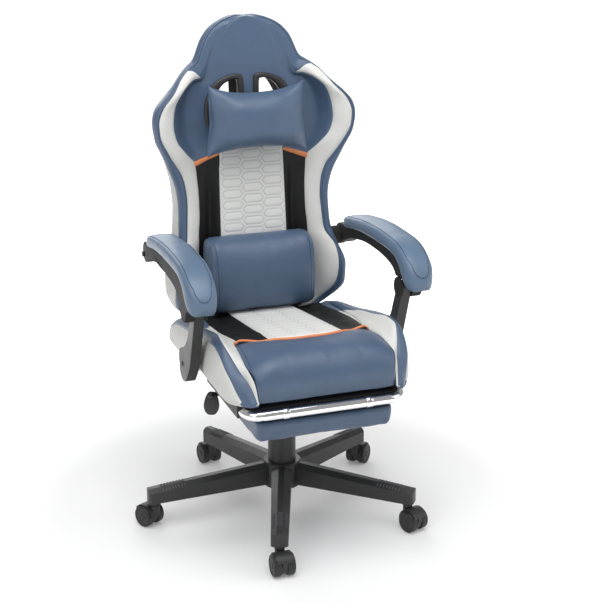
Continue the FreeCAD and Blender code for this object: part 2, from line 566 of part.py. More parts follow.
def hinge_arm_space():
    """Room for the two hinge arms that rise from the seat frame."""
    inner = FRAME_HALF_WIDTH + FRAME_TUBE - SKIN
    slot = block((inner - HINGE_PLATE - CLEAR, SEAT_HALF_WIDTH), (FRAME_REAR - HINGE_ARM_LENGTH - SKIN, FRAME_REAR),
                 (FRAME_Z, HINGE_Z + HINGE_DISC + SKIN))
    return joined([slot, mirrored(slot)])


def bolster_section(y, bottom, seam, top, width):
    inner = SEAT_HALF_WIDTH + CLEAR
    return outline([
        (inner, bottom, 4), (inner, seam, 5), (inner + 0.42 * (width - inner), top, 9),
        (width - 4, top - 5, 9), (width, 0.5 * (bottom + top), 60), (width - 3, bottom, 8)], on_xz(y))


def seat_bolster():
    """Raised side of the seat, tall at the front corner and falling to the rear."""
    wide = BOLSTER_HALF_WIDTH
    over_sleeve = RAIL_Z + RAIL_RADIUS + SLEEVE_WALL + CLEAR * 2
    rows = [
        (-305, over_sleeve + 14, 470, 500, wide - 16), (-296, over_sleeve + 4, 490, 537, wide - 8),
        (-272, over_sleeve, 505, 562, wide - 3), (-225, over_sleeve, 520, 575, wide),
        (-146, over_sleeve, 538, 566, wide), (SLEEVE_REAR, over_sleeve, 522, 537, wide),
        (0, 414, 508, 517, wide), (60, 410, 488, 494, wide), (129, 407, 463, 470, wide),
        (200, 405, 450, 458, wide - 2), (238, 408, 440, 448, wide - 8)]
    shape = Part.makeLoft([bolster_section(*row) for row in rows], True, False)
    pin = V(0, HINGE_Y, HINGE_Z)
    shape = shape.cut(rod(pin, pin + AX * (2 * wide), HINGE_PIN + SKIN))
    plate = link_mount_plate(SKIN, RAIL_RADIUS)
    foot = V(SEAT_HALF_WIDTH, LINK_FOOT_Y, LINK_FOOT_Z)
    return shape.cut(plate).cut(rod(foot, foot + AX * wide, PIVOT_PIN + SKIN))


def link_mount_plate(margin, below=0.0):
    """Upright plate between seat pad and bolster, standing on the footrest sleeve."""
    foot = RAIL_Z + RAIL_RADIUS + SLEEVE_WALL
    inner = SEAT_HALF_WIDTH + CLEAR + 0.2
    corners = [(LINK_FOOT_Y - 30 - margin - 0.4 * below, foot - below, 2),
               (LINK_FOOT_Y + 16 + margin, foot - below, 2),
               (LINK_FOOT_Y + 16 + margin, LINK_FOOT_Z + 16 + margin, 14),
               (LINK_FOOT_Y - 16 - margin, LINK_FOOT_Z + 16 + margin, 14)]
    return prism(outline(corners, on_yz(inner - margin)), AX * (5 + 2 * margin))


def link_mount():
    foot = V(SEAT_HALF_WIDTH + 2, LINK_FOOT_Y, LINK_FOOT_Z)
    stud = rod(foot, V(LINK_X + LINK_THICK - 7, LINK_FOOT_Y, LINK_FOOT_Z), PIVOT_PIN)
    return joined([link_mount_plate(0), stud])


def footrest_sleeve():
    """Square guide with a round bore for one leg of the footrest tube."""
    outer = RAIL_RADIUS + SLEEVE_WALL
    sleeve = block((RAIL_X - outer, RAIL_X + outer), (SLEEVE_FRONT, SLEEVE_REAR),
                   (RAIL_Z - outer, RAIL_Z + outer))
    sleeve = soft_edges(sleeve, 3.0, lambda edge: edge.Length > 150)
    tab = block((FRAME_HALF_WIDTH + FRAME_TUBE - 2, RAIL_X - outer + 1), (SLEEVE_FRONT + 80, SLEEVE_REAR - 50),
                (FRAME_Z - 3, FRAME_Z + 3))
    tab = tab.cut(frame_ring(FRAME_TUBE))
    bore = rod(V(RAIL_X, SLEEVE_FRONT - 1, RAIL_Z), V(RAIL_X, SLEEVE_REAR + 1, RAIL_Z), RAIL_RADIUS + CLEAR)
    return joined([sleeve, tab]).cut(bore)


# ---- footrest ---------------------------------------------------------------------------------

def footrest_tube():
    corners = [V(-RAIL_X, RAIL_REAR, RAIL_Z), V(-RAIL_X, RAIL_FRONT, RAIL_Z),
               V(RAIL_X, RAIL_FRONT, RAIL_Z), V(RAIL_X, RAIL_REAR, RAIL_Z)]
    return bent_rod(corners, [RAIL_BEND, RAIL_BEND], RAIL_RADIUS)


def footrest_board():
    """Board under the foot pad with two clips that turn on the front of the tube."""
    top = REST_TOP
    board = outline([(-REST_HALF_WIDTH + 4, REST_FRONT + 6, 20), (REST_HALF_WIDTH - 4, REST_FRONT + 6, 20),
                     (REST_HALF_WIDTH - 4, REST_REAR - 4, 20), (-REST_HALF_WIDTH + 4, REST_REAR - 4, 20)],
                    on_xy(top - REST_BOARD))
    shapes = [prism(board, AZ * REST_BOARD)]
    clip_radius = RAIL_RADIUS + REST_HINGE_WALL
    for x in (-REST_HINGE_X, REST_HINGE_X):
        start, end = V(x - REST_HINGE_WIDTH / 2, RAIL_FRONT, RAIL_Z), V(x + REST_HINGE_WIDTH / 2, RAIL_FRONT, RAIL_Z)
        tab = block((start.x, end.x), (RAIL_FRONT, RAIL_FRONT + 34), (top - 1, top + 3))
        shapes += [rod(start, end, clip_radius), tab]
    shape = joined(shapes)
    inner = V(REST_HALF_WIDTH, RAIL_FRONT, RAIL_Z)
    return shape.cut(rod(inner, V(-inner.x, inner.y, inner.z), RAIL_RADIUS + FIT))


def cushion_rows(half, rounding):
    """Stations along a cushion of the given half length, with how far each is drawn in."""
    ends = [(half, rounding), (half - 0.12 * rounding, 0.6 * rounding), (half - 0.4 * rounding, 0.22 * rounding),
            (half - rounding, 0.0)]
    return [(-x, inset) for x, inset in ends] + ends[::-1]


def rest_section(x, inset):
    front, rear = REST_FRONT + inset, REST_REAR - inset
    bottom, top = REST_BOTTOM + inset, REST_TOP - REST_BOARD - 0.3 * inset
    rim = REST_RIM
    mid = rim * (1 - math.sqrt(0.5))
    return path((front, top - rim), [
        (front + 2, bottom + 16), (front + 6, bottom + 7, front + 20, bottom + 3),
        ((front + rear) / 2, bottom, rear - 18, bottom + 8), (rear - 5, bottom + 12, rear - 1, bottom + 22),
        (rear, top - rim), (rear - mid, top - mid, rear - rim, top), (front + rim, top),
        (front + mid, top - mid, front, top - rim)], on_yz(x))


def footrest_pad():
    """Foot cushion, crowned towards the floor while it is stowed."""
    return Part.makeLoft([rest_section(*row) for row in cushion_rows(REST_HALF_WIDTH, 11.0)], True, True)


# ---- back -------------------------------------------------------------------------------------

def back_front(z):
    """Front of the middle panel: the back leans away as it rises."""
    return BACK_FRONT_AT_BOTTOM + BACK_LEAN * (z - BACK_BOTTOM)


def back_section(z, width, wing, foot, depth, side):
    """Plan of the back at one height: middle panel, forward wings, and rounded sides."""
    front = back_front(z)
    rear = front + depth
    right = [(width - 40, rear, 30), (width, side, 22), (width - 1, front - wing + 16, 9),
             (width - 15, front - wing, 9), (foot, front + PANEL_INSET, 24)]
    left = [(-x, y, radius) for x, y, radius in reversed(right)]
    return outline(right + left, on_xy(z))


def back_frame_spine():
    rise = BACK_FRAME_TOP - BACK_LEG_BOTTOM
    low, high = back_front(BACK_LEG_BOTTOM) + BACK_FRAME_DEPTH, back_front(BACK_FRAME_TOP) + BACK_FRAME_DEPTH
    x = BACK_LEG_X
    return [V(-x, low, BACK_LEG_BOTTOM), V(-x, high, BACK_LEG_BOTTOM + rise), V(x, high, BACK_FRAME_TOP),
            V(x, low, BACK_LEG_BOTTOM)]


def back_tube(radius):
    return bent_rod(back_frame_spine(), [BACK_FRAME_BEND, BACK_FRAME_BEND], radius)


def arm_stud(radius, end):
    side = V(BACK_LEG_X, ARM_REAR_Y, ARM_REAR_Z)
    stud = rod(side, V(end, ARM_REAR_Y, ARM_REAR_Z), radius)
    return joined([stud, mirrored(stud)])


def back_frame():
    return joined([back_tube(BACK_TUBE), arm_stud(PIVOT_PIN, ARM_X + BRACKET_HALF_WIDTH - 8)])


HINGE_X = FRAME_HALF_WIDTH + FRAME_TUBE - CLEAR     # the back's plates lie just inside the seat's


def recliner_plate(margin):
    """Plate from the hinge pin up to the leg of the back frame."""
    low = back_front(BACK_LEG_BOTTOM) + BACK_FRAME_DEPTH
    corners = [(HINGE_Y - HINGE_DISC - margin, HINGE_Z - HINGE_DISC - margin, 21),
               (HINGE_Y + HINGE_DISC + margin, HINGE_Z - HINGE_DISC - margin, 21),
               (low + 14 + margin, BACK_LEG_BOTTOM + 70 + margin, 10),
               (low - 10 - margin, BACK_LEG_BOTTOM + 70 + margin, 10)]
    plate = prism(outline(corners, on_yz(HINGE_X - HINGE_PLATE - margin)), AX * (HINGE_PLATE + 2 * margin))
    return plate


def recliner_plates():
    shape = recliner_plate(0).cut(back_tube(BACK_TUBE))
    pin = V(0, HINGE_Y, HINGE_Z)
    shape = shape.cut(rod(pin, pin + AX * BOLSTER_HALF_WIDTH, HINGE_PIN + FIT))
    return both_sides(shape)


def recliner_shaft():
    pin = V(0, HINGE_Y, HINGE_Z)
    left = pin - AX * (SEAT_HALF_WIDTH - 4)
    right = V(RELEASE_X + RELEASE_THICK, HINGE_Y, HINGE_Z)
    return cut_edges(rod(left, right, HINGE_PIN), 1.5, lambda edge: abs(edge.BoundBox.XMin - right.x) < 0.1)


def recline_lever():
    """Flat release lever outside the seat, with a thick grip pointing forward."""
    y, z = HINGE_Y, HINGE_Z
    arm = outline([(y + 17, z - 14, 13), (y + 17, z + 15, 13), (y - 16, z + 16, 10),
                   (y - RELEASE_LENGTH, z - 12, 8), (y - RELEASE_LENGTH, z - 30, 8), (y - 20, z - 18, 20)],
                  on_yz(RELEASE_X))
    shape = prism(arm, AX * RELEASE_THICK)
    grip = outline([(y - RELEASE_LENGTH + 56, z - 26, 6), (y - RELEASE_LENGTH + 56, z - 6, 6),
                    (y - RELEASE_LENGTH - 4, z - 9, 8), (y - RELEASE_LENGTH - 4, z - 33, 8)], on_yz(RELEASE_X - 2))
    shape = joined([shape, prism(grip, AX * (RELEASE_THICK + 6))])
    return shape.cut(rod(V(0, y, z), V(2 * RELEASE_X, y, z), HINGE_PIN + FIT))


def opening_outline(margin, y):
    """Harness slot on the right side, upright inside and slanted outside."""
    inner, outer = OPENING_INNER - margin, OPENING_OUTER + margin
    bottom, top = OPENING_BOTTOM - margin, OPENING_TOP + margin
    span = outer - inner
    return outline([(inner + 0.14 * span, bottom, 10), (inner + 0.82 * span, bottom - 4, 14),
                    (outer, bottom + 28, 14), (inner + 0.5 * span, top - 2, 16), (inner, top, 8)], on_xz(y))


def opening_prism(margin, front, rear):
    return prism(opening_outline(margin, front), AY * (rear - front))


# rows: height, half width, how far the wing stands forward, foot of the wing, depth, rear of the side
BACK_ROWS = (
    (BACK_BOTTOM, 168, 0, 120, 92, 262), (500, 206, 4, 142, 96, 262), (522, 222, 28, 150, 96, 263),
    (556, 231, 60, 155, 96, 264), (607, 231, 70, 156, 92, 266), (660, 217, 44, 152, 88, 264),
    (710, 206, 26, 147, 86, 262), (779, 203, 24, 145, 86, 262), (855, 219, 34, 149, 86, 268),
    (927, 249, 44, 140, 86, 280), (1000, 268, 42, 128, 84, 292), (1045, 248, 32, 128, 82, 298),
    (1090, 197, 20, 124, 80, 302), (1128, 153, 8, 104, 78, 306), (1175, 126, 4, 84, 72, 310),
    (1222, 99, 2, 60, 60, 308), (1245, 66, 0, 36, 34, 290),
)


def back_cushion():
    """Upholstered back: bucket wings, waist and head part, slotted for the harness."""
    shape = Part.makeLoft([back_section(*row) for row in BACK_ROWS], True, False)
    front, rear = 0.0, 2 * (BACK_FRONT_AT_BOTTOM + BACK_DEPTH)
    slot = opening_prism(CLEAR, front, rear)
    pin = V(0, HINGE_Y, HINGE_Z)
    reach = AX * (2 * BOLSTER_HALF_WIDTH)
    cuts = [slot, mirrored(slot), back_tube(BACK_TUBE + SKIN), arm_stud(PIVOT_PIN + SKIN, 2 * ARM_X),
            recliner_plate(SKIN), mirrored(recliner_plate(SKIN)), rod(pin - reach, pin + reach, HINGE_CLEARANCE)]
    for cut in cuts:
        shape = shape.cut(cut)
    return max(shape.Solids, key=lambda solid: solid.Volume)


def bezel_span():
    """Front and rear of the harness bezels."""
    middle = back_front((OPENING_BOTTOM + OPENING_TOP) / 2)
    return middle - 9, middle + BACK_DEPTH + 4


def harness_bezel():
    """Moulded frame lining one harness slot, with a lip over the front cover."""
    front, rear = bezel_span()
    ring = opening_prism(0, front, rear)
    lip = opening_prism(BEZEL_LIP, front - BEZEL_LIP_THICK, front)
    hole = opening_prism(-BEZEL_WALL, front - 10, rear + 10)
    return joined([ring, lip]).cut(hole)


def pillow_section(share):
    """Upright section of the neck pillow: two shallow arcs meeting in the seams below and above."""
    x, spread = share * PILLOW_HALF_WIDTH, abs(share)
    rise = PILLOW_HALF_HEIGHT + PILLOW_CORNER_RISE * spread ** 2.5
    plump = 1 - spread ** 2.2
    front = PILLOW_Y - PILLOW_EDGE - (PILLOW_Y - PILLOW_EDGE - PILLOW_FRONT) * plump
    rear = PILLOW_Y + PILLOW_EDGE + (PILLOW_REAR - PILLOW_Y - PILLOW_EDGE) * plump
    return path((PILLOW_Y, PILLOW_Z - rise), [(front, PILLOW_Z, PILLOW_Y, PILLOW_Z + rise),
                                              (rear, PILLOW_Z, PILLOW_Y, PILLOW_Z - rise)], on_yz(x))


def headrest_pillow():
    """Neck pillow with pointed corners, a sagging top edge and drawn-in sides."""
    shares = (-1, -0.84, -0.46, 0, 0.46, 0.84, 1)
    return Part.makeLoft([pillow_section(share) for share in shares], True, False)


def headrest_strap():
    """Elastic band from the pillow through both harness slots, round the middle of the back."""
    x, t, low = STRAP_X, STRAP_THICK, PILLOW_Z - STRAP_WIDTH / 2
    plump = 1 - (x / PILLOW_HALF_WIDTH) ** 2.2
    front = PILLOW_Y + PILLOW_EDGE + (PILLOW_REAR - PILLOW_Y - PILLOW_EDGE) * plump + CLEAR
    rear = bezel_span()[1] + CLEAR
    outer = outline([(-x, front, 0), (x, front, 0), (x, rear + t, 10), (-x, rear + t, 10)], on_xy(low))
    inner = outline([(-x + t, front, 0), (x - t, front, 0), (x - t, rear, 8), (-x + t, rear, 8)], on_xy(low))
    return prism(outer, AZ * STRAP_WIDTH).cut(prism(inner, AZ * STRAP_WIDTH))


def lumbar_section(x, inset):
    low, high, front = LUMBAR_BOTTOM + inset, LUMBAR_TOP - inset, LUMBAR_FRONT + inset
    gap = LUMBAR_GAP - PANEL_INSET + 0.5 * inset
    rear_low, rear_high = back_front(low) - gap, back_front(high) - gap
    return path((rear_low, low + 8), [
        (rear_low - 3, low + 2, rear_low - 12, low), (front + 32, low),
        (front + 6, low + 14, front, low + 50), (front + 2, 0.5 * (low + high) + 28, front + 16, high - 26),
        (front + 28, high - 7, front + 50, high), (rear_high - 8, high),
        (rear_high - 2, high - 2, rear_high, high - 8), (rear_low, low + 8)], on_yz(x))


def lumbar_cushion():
    """Lumbar roll: deep crown in front, flat against the leaning back, rounded ends."""
    return Part.makeLoft([lumbar_section(*row) for row in cushion_rows(LUMBAR_HALF_WIDTH, 14.0)], True, True)


# ---- armrests ---------------------------------------------------------------------------------
# The pad rests on the bracket along two arcs that both pieces share.

PAD_REAR, PAD_MID, PAD_NOSE = (190.0, 690.0), (-110.0, 716.0), (-220.0, 656.0)
PAD_REAR_VIA, PAD_NOSE_VIA = (45.0, 714.0), (-180.0, 698.0)


def arm_pad():
    inner = ARM_X - PAD_HALF_WIDTH
    side = path(PAD_REAR, [
        PAD_REAR_VIA + PAD_MID, PAD_NOSE_VIA + PAD_NOSE, (-238, 644, -251, 674), (-212, 726, -120, 745),
        (50, 742, 212, 708), (230, 699, 216, PAD_REAR[1]), PAD_REAR], on_yz(inner))
    shape = prism(side, AX * (2 * PAD_HALF_WIDTH))

    def upper_rim(edge):
        box = edge.BoundBox
        return box.XLength < 0.1 and box.ZMax > PAD_MID[1] + 10
    return soft_edges(shape, 14.0, upper_rim)


def arm_bracket():
    """Arched bracket under the pad: boss on the back at the rear, fork over the link at the front."""
    inner, outer = ARM_X - BRACKET_HALF_WIDTH, ARM_X + BRACKET_HALF_WIDTH
    rear, front = V(0, ARM_REAR_Y, ARM_REAR_Z), V(0, ARM_FRONT_Y, ARM_FRONT_Z)
    boss = 26.0
    side = path(PAD_REAR, [
        (ARM_REAR_Y, ARM_REAR_Z + boss), (ARM_REAR_Y + boss, ARM_REAR_Z, ARM_REAR_Y, ARM_REAR_Z - boss),
        (222, 636), (112, 674, -40, 677), (-100, 670, ARM_FRONT_Y + boss, ARM_FRONT_Z),
        (ARM_FRONT_Y, ARM_FRONT_Z - boss, ARM_FRONT_Y - boss, ARM_FRONT_Z), PAD_NOSE,
        PAD_NOSE_VIA + PAD_MID, PAD_REAR_VIA + PAD_REAR], on_yz(inner))
    shape = prism(side, AX * (outer - inner))
    hub = rod(rear + AX * (inner - HUB_REACH), rear + AX * (inner + 1), boss - 1)
    cheek = rod(front + AX * (LINK_X - CLEAR - CHEEK), front + AX * (inner + 1), boss)
    shape = joined([shape, hub, cheek])
    fork = block((LINK_X - CLEAR, LINK_X + LINK_THICK + CLEAR), (ARM_FRONT_Y - 2 * boss, ARM_FRONT_Y + 1.6 * boss),
                 (ARM_FRONT_Z - 2 * boss, ARM_FRONT_Z + LINK_EYE + 3))
    shape = shape.cut(fork)
    shape = shape.cut(rod(rear + AX * 200, rear + AX * (outer - 8 + CLEAR), PIVOT_PIN + FIT))
    return shape.cut(rod(front + AX * 200, front + AX * (outer - 8 + CLEAR), FRONT_PIN + FIT))


def arm_pin():
    """Front pivot bolt with its round cap on the inner side."""
    front = V(0, ARM_FRONT_Y, ARM_FRONT_Z)
    face = LINK_X - CLEAR - CHEEK
    cap = rod(front + AX * (face - DISC_THICK), front + AX * face, DISC_RADIUS)
    cap = cut_edges(cap, 2.5, lambda edge: edge.BoundBox.XMax < face - DISC_THICK + 0.1)
    return joined([cap, rod(front + AX * face, front + AX * (ARM_X + BRACKET_HALF_WIDTH - 8), FRONT_PIN)])


def arm_link():
    """Link from the front pivot down to the seat, slim above and broad at its foot."""
    y, z, eye = ARM_FRONT_Y, ARM_FRONT_Z, LINK_EYE
    fy, fz = LINK_FOOT_Y, LINK_FOOT_Z
    side = path((y - eye, z), [
        (y, z + eye, y + eye, z), (fy - 60, fz + 108), (fy - 32, fz + 62, fy + 16, fz + 36),
        (fy + 32, fz + 18, fy + 30, fz - 8), (fy + 20, fz - 36, fy - 8, fz - 43), (fy - 20, fz - 40),
        (fy - 44, fz - 14, fy - 66, fz + 18), (y - eye, z)], on_yz(LINK_X))
    shape = prism(side, AX * LINK_THICK)
    foot = V(0, fy, fz)
    spacer = rod(foot + AX * (BOLSTER_HALF_WIDTH + 5), foot + AX * (LINK_X + 1), PIVOT_PIN + 7)
    shape = joined([shape, spacer])
    shape = shape.cut(rod(foot + AX * 200, foot + AX * 400, PIVOT_PIN + FIT))
    return shape.cut(rod(V(200, y, z), V(400, y, z), FRONT_PIN + FRONT_GAP))


# ---- write the pieces -------------------------------------------------------------------------

def save_pair(name, shape):
    """The drawn piece is on the +X side, which is the sitter's left."""
    save(name + "_left", [shape])
    save(name + "_right", [mirrored(shape)])


save("star_base", [star_base()])
make_casters()
save("gas_outer_tube", [gas_outer_tube()])
save("thrust_bearing", [thrust_bearing()])
save("piston_rod", [piston_rod()])
save("gas_cylinder", [gas_cylinder()])
save("valve_button", [valve_button()])
save("column_cover_lower", [column_cover_lower()])
save("column_cover_upper", [column_cover_upper()])
save("mechanism_housing", [mechanism_housing()])
save("tilt_shaft", [tilt_shaft()])
save("tension_spring", [tension_spring()])
save("tension_knob", [tension_knob()])
save("lever_bush", [lever_bush()])
save("height_lever", [height_lever()])
save("lever_paddle", [lever_paddle()])
save("seat_plate", [seat_plate()])
save("seat_frame", [seat_frame()])
save("seat_cushion", [seat_cushion()])
save_pair("seat_bolster", seat_bolster())
save("link_mounts", both_sides(link_mount()))
save("footrest_sleeves", both_sides(footrest_sleeve()))
save("footrest_tube", [footrest_tube()])
save("footrest_board", [footrest_board()])
save("footrest_pad", [footrest_pad()])
save("recliner_shaft", [recliner_shaft()])
save("recline_lever", [recline_lever()])
save("recliner_plates", recliner_plates())
save("back_frame", [back_frame()])
save("back_cushion", [back_cushion()])
save_pair("harness_bezel", harness_bezel())
save("headrest_pillow", [headrest_pillow()])
save("headrest_strap", [headrest_strap()])
save("lumbar_cushion", [lumbar_cushion()])
save_pair("arm_pad", arm_pad())
save_pair("arm_bracket", arm_bracket())
save_pair("arm_pin", arm_pin())
save_pair("arm_link", arm_link())
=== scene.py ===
import json
import math

import bmesh
import bpy
import numpy as np
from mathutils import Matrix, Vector, noise
from mathutils.bvhtree import BVHTree


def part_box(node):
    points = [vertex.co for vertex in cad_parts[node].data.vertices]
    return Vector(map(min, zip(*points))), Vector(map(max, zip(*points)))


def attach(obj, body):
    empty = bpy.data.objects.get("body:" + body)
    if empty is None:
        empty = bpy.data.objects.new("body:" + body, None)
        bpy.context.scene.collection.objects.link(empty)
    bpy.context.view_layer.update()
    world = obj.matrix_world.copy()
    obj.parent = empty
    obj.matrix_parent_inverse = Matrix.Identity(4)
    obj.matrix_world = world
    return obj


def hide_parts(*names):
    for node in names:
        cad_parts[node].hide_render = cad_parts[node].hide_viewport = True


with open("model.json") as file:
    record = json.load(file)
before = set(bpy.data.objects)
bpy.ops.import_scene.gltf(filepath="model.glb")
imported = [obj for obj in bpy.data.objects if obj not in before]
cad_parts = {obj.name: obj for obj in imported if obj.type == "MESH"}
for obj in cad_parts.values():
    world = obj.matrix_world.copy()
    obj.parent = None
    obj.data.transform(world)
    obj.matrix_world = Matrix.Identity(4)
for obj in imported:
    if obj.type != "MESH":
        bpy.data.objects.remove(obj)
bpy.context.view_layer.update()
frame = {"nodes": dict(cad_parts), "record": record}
nodes = frame["nodes"]
MM = 0.001


# ---- finishes ---------------------------------------------------------------------------------

def linear(red, green, blue):
    """A display colour, 0 to 255, as the linear colour a shader takes."""
    def one(value):
        value /= 255.0
        return value / 12.92 if value <= 0.04045 else ((value + 0.055) / 1.055) ** 2.4
    return (one(red), one(green), one(blue), 1.0)


def add_node(tree, kind, *links, **settings):
    """A node with its inputs linked or set by name; a setting that is no input is set on the node itself."""
    node = tree.nodes.new(kind)
    for key, value in settings.items():
        socket = key.replace("_", " ")
        if socket in node.inputs:
            node.inputs[socket].default_value = value
        else:
            setattr(node, key, value)
    for socket, source in links:
        tree.links.new(source, node.inputs[socket])
    return node


class Finish:
    """A Principled material with a pattern on Object coordinates."""

    def __init__(self, name, **values):
        self.material = bpy.data.materials.new(name)
        self.material.use_nodes = True
        self.tree = self.material.node_tree
        self.shader = self.tree.nodes["Principled BSDF"]
        for socket, value in values.items():
            self.shader.inputs[socket.replace("_", " ")].default_value = value
        self.place = self.node("TexCoord").outputs["Object"]

    def node(self, kind, *links, **settings):
        return add_node(self.tree, "ShaderNode" + kind, *links, **settings)

    def noise(self, scale, detail=3.0, stretch=(1, 1, 1)):
        mapping = self.node("Mapping", ("Vector", self.place), Scale=stretch)
        spots = self.node("TexNoise", ("Vector", mapping.outputs[0]), Scale=scale, Detail=detail)
        return spots.outputs["Fac"]

    def weave(self, pitch):
        """Over-and-under threads: two crossed sets of ridges."""
        waves = []
        for turn in ((0, 0, 0), (0, math.pi / 2, 0)):
            mapping = self.node("Mapping", ("Vector", self.place), Rotation=turn)
            wave = self.node("TexWave", ("Vector", mapping.outputs[0]), Scale=1.0 / pitch / 6.28,
                             Distortion=0.6, bands_direction="X")
            waves.append(wave.outputs["Fac"])
        return self.node("Math", (0, waves[0]), (1, waves[1]), operation="MAXIMUM").outputs[0]

    def between(self, factor, low, high, colours=True):
        ramp = self.node("ValToRGB", ("Fac", factor))
        ramp.color_ramp.elements[0].color = low if colours else (low, low, low, 1)
        ramp.color_ramp.elements[1].color = high if colours else (high, high, high, 1)
        ramp.color_ramp.elements[0].position = 0.3
        ramp.color_ramp.elements[1].position = 0.7
        return ramp.outputs[0]

    def feed(self, socket, source):
        self.tree.links.new(source, self.shader.inputs[socket])

    def bump(self, height, strength, distance):
        bump = self.node("Bump", ("Height", height), Strength=strength, Distance=distance)
        self.feed("Normal", bump.outputs[0])


def shade(colour, factor):
    return tuple(channel * factor for channel in colour[:3]) + (1.0,)


PATCH_SCALE, CREASE_SCALE, THREAD_PITCH = 26.0, 60.0, 0.0011
CLOTH_RELIEF, CLOTH_DEPTH, SHEEN_ROUGHNESS = 0.22, 0.0006, 0.45


def woven(finish):
    """Threads and fine creases of a cloth, as relief too small to model."""
    height = finish.node("Math", (0, finish.weave(THREAD_PITCH)), (1, finish.noise(CREASE_SCALE, 4.0)),
                         operation="ADD")
    finish.bump(height.outputs[0], CLOTH_RELIEF, CLOTH_DEPTH)
    return finish.material


def cloth(name, colour, spread=0.04, rough=(0.5, 0.62), sheen=0.05, gloss=0.35):
    finish = Finish(name, Sheen_Weight=sheen, Sheen_Roughness=SHEEN_ROUGHNESS, Specular_IOR_Level=gloss)
    patches = finish.noise(PATCH_SCALE)
    finish.feed("Base Color", finish.between(patches, shade(colour, 1 - spread), shade(colour, 1 + spread)))
    finish.feed("Roughness", finish.between(patches, rough[1], rough[0], colours=False))
    return woven(finish)


def quilted_cloth(name, colour, groove_shade_colour):
    """Cloth whose sewn lines are painted darker than the puffed cells: painted shade of the stitched grooves.
    """
    finish = Finish(name, Sheen_Weight=0.04, Sheen_Roughness=SHEEN_ROUGHNESS, Specular_IOR_Level=0.35)
    sewn = finish.node("Attribute", attribute_name="sewn").outputs["Fac"]
    patches = finish.noise(PATCH_SCALE)
    plain = finish.between(patches, shade(colour, 0.99), shade(colour, 1.01))
    # Painted shade: the sewn weight blends the cloth towards the darker groove shade colour.
    mix = finish.node("MixRGB", (0, sewn), (1, plain), Color2=groove_shade_colour)
    finish.feed("Base Color", mix.outputs[0])
    finish.feed("Roughness", finish.between(patches, 0.62, 0.52, colours=False))
    return woven(finish)


def plastic(name, colour, rough=0.42, grain=900.0, strength=0.12, gloss=0.45):
    finish = Finish(name, Specular_IOR_Level=gloss)
    patches = finish.noise(18.0)
    finish.feed("Base Color", finish.between(patches, shade(colour, 0.92), shade(colour, 1.06)))
    finish.feed("Roughness", finish.between(patches, rough + 0.05, rough - 0.05, colours=False))
    finish.bump(finish.noise(grain, 2.0), strength, 0.0004)
    return finish.material


def metal(name, colour, rough, brushed=0.0):
    finish = Finish(name, Metallic=1.0)
    streaks = finish.noise(220.0, 2.0, (1.0, 0.06, 1.0))
    finish.feed("Base Color", finish.between(streaks, shade(colour, 0.97), shade(colour, 1.0)))
    finish.feed("Roughness", finish.between(streaks, rough + brushed, rough, colours=False))
    return finish.material


blue_cloth = cloth("slate_blue_cloth", linear(76, 97, 124), sheen=0.04, rough=(0.38, 0.45), gloss=0.6)
# Lighter copy of the blue cloth for the arm pads: painted highlight for the sheen their tops catch.
pad_cloth_painted_highlight = cloth("slate_blue_pad_painted_highlight", linear(94, 117, 143), sheen=0.04, rough=(0.36, 0.42), gloss=0.6)
white_cloth = cloth("off_white_cloth", linear(226, 226, 222), spread=0.012)
# The quilted white is written lighter than the off-white cloth: painted light that makes up for the shade of
# its relief. Its sewn lines carry painted shade.
quilt_cloth_painted_light_shade = quilted_cloth("quilted_white_painted_light_and_shade", linear(235, 235, 232), linear(192, 193, 194))
black_cloth = cloth("black_cloth", linear(22, 22, 22), sheen=0.0, rough=(0.5, 0.62), gloss=0.3)
orange_cloth = cloth("orange_band", linear(236, 148, 98), sheen=0.03)
webbing = cloth("black_webbing", linear(30, 30, 31))
blue_thread = cloth("blue_thread", linear(70, 88, 112))
# Dark strip laid along each seam under its stitches: painted shade of the seam groove.
groove_shade_band = cloth("painted_groove_shade", linear(54, 70, 92))
moulded_black = plastic("moulded_black", linear(50, 50, 50))
# The inside of the harness slots takes a darker black: painted shade in the hollow; it is also rougher and
# less glossy.
slot_sleeve_painted_shade = plastic("moulded_black_painted_shade", linear(26, 26, 26), rough=0.9, gloss=0.1)
moulded_matt = plastic("moulded_black_matt", linear(54, 54, 54), rough=0.6, gloss=0.12)
# Dark strip between the two footrest bars: painted shadow of the gap behind the front bar.
footrest_gap_painted_shadow = plastic("painted_shadow_gap_black", linear(36, 36, 36), rough=0.36)
moulded_grey = plastic("moulded_grey", linear(92, 92, 96), rough=0.45)
tread = plastic("caster_tread", linear(44, 44, 45), rough=0.5)
powder_coat = plastic("black_powder_coat", linear(34, 34, 34), rough=0.5, grain=1600.0, strength=0.25)
board = plastic("black_board", linear(30, 30, 30), rough=0.7)
chrome = metal("polished_chrome", (0.9, 0.9, 0.91, 1), 0.06)
steel = metal("bright_steel", (0.72, 0.72, 0.73, 1), 0.28, 0.12)

NODE_FINISH = {
    "nylon_black": moulded_black, "nylon_grey": moulded_grey, "steel_black": powder_coat,
    "steel_plain": steel, "chrome": chrome, "board_black": board, "webbing_black": webbing,
    "fabric_blue": blue_cloth, "fabric_white": white_cloth,
}
OWN_FINISH = {"caster_wheels": tread, "height_lever": powder_coat}


def dress_nodes():
    """Gives every solid of the frame the finish of its slot, or its own where it has one."""
    slots = {entry["node"]: entry["material_slot"] for entry in frame["record"]["subparts"]}
    for name, node in nodes.items():
        finish = NODE_FINISH[slots[name]]
        for start, own in OWN_FINISH.items():
            if name.startswith(start):
                finish = own
        if not node.material_slots:
            node.data.materials.append(finish)
        for slot in node.material_slots:
            slot.material = finish


# ---- shaping helpers --------------------------------------------------------------------------

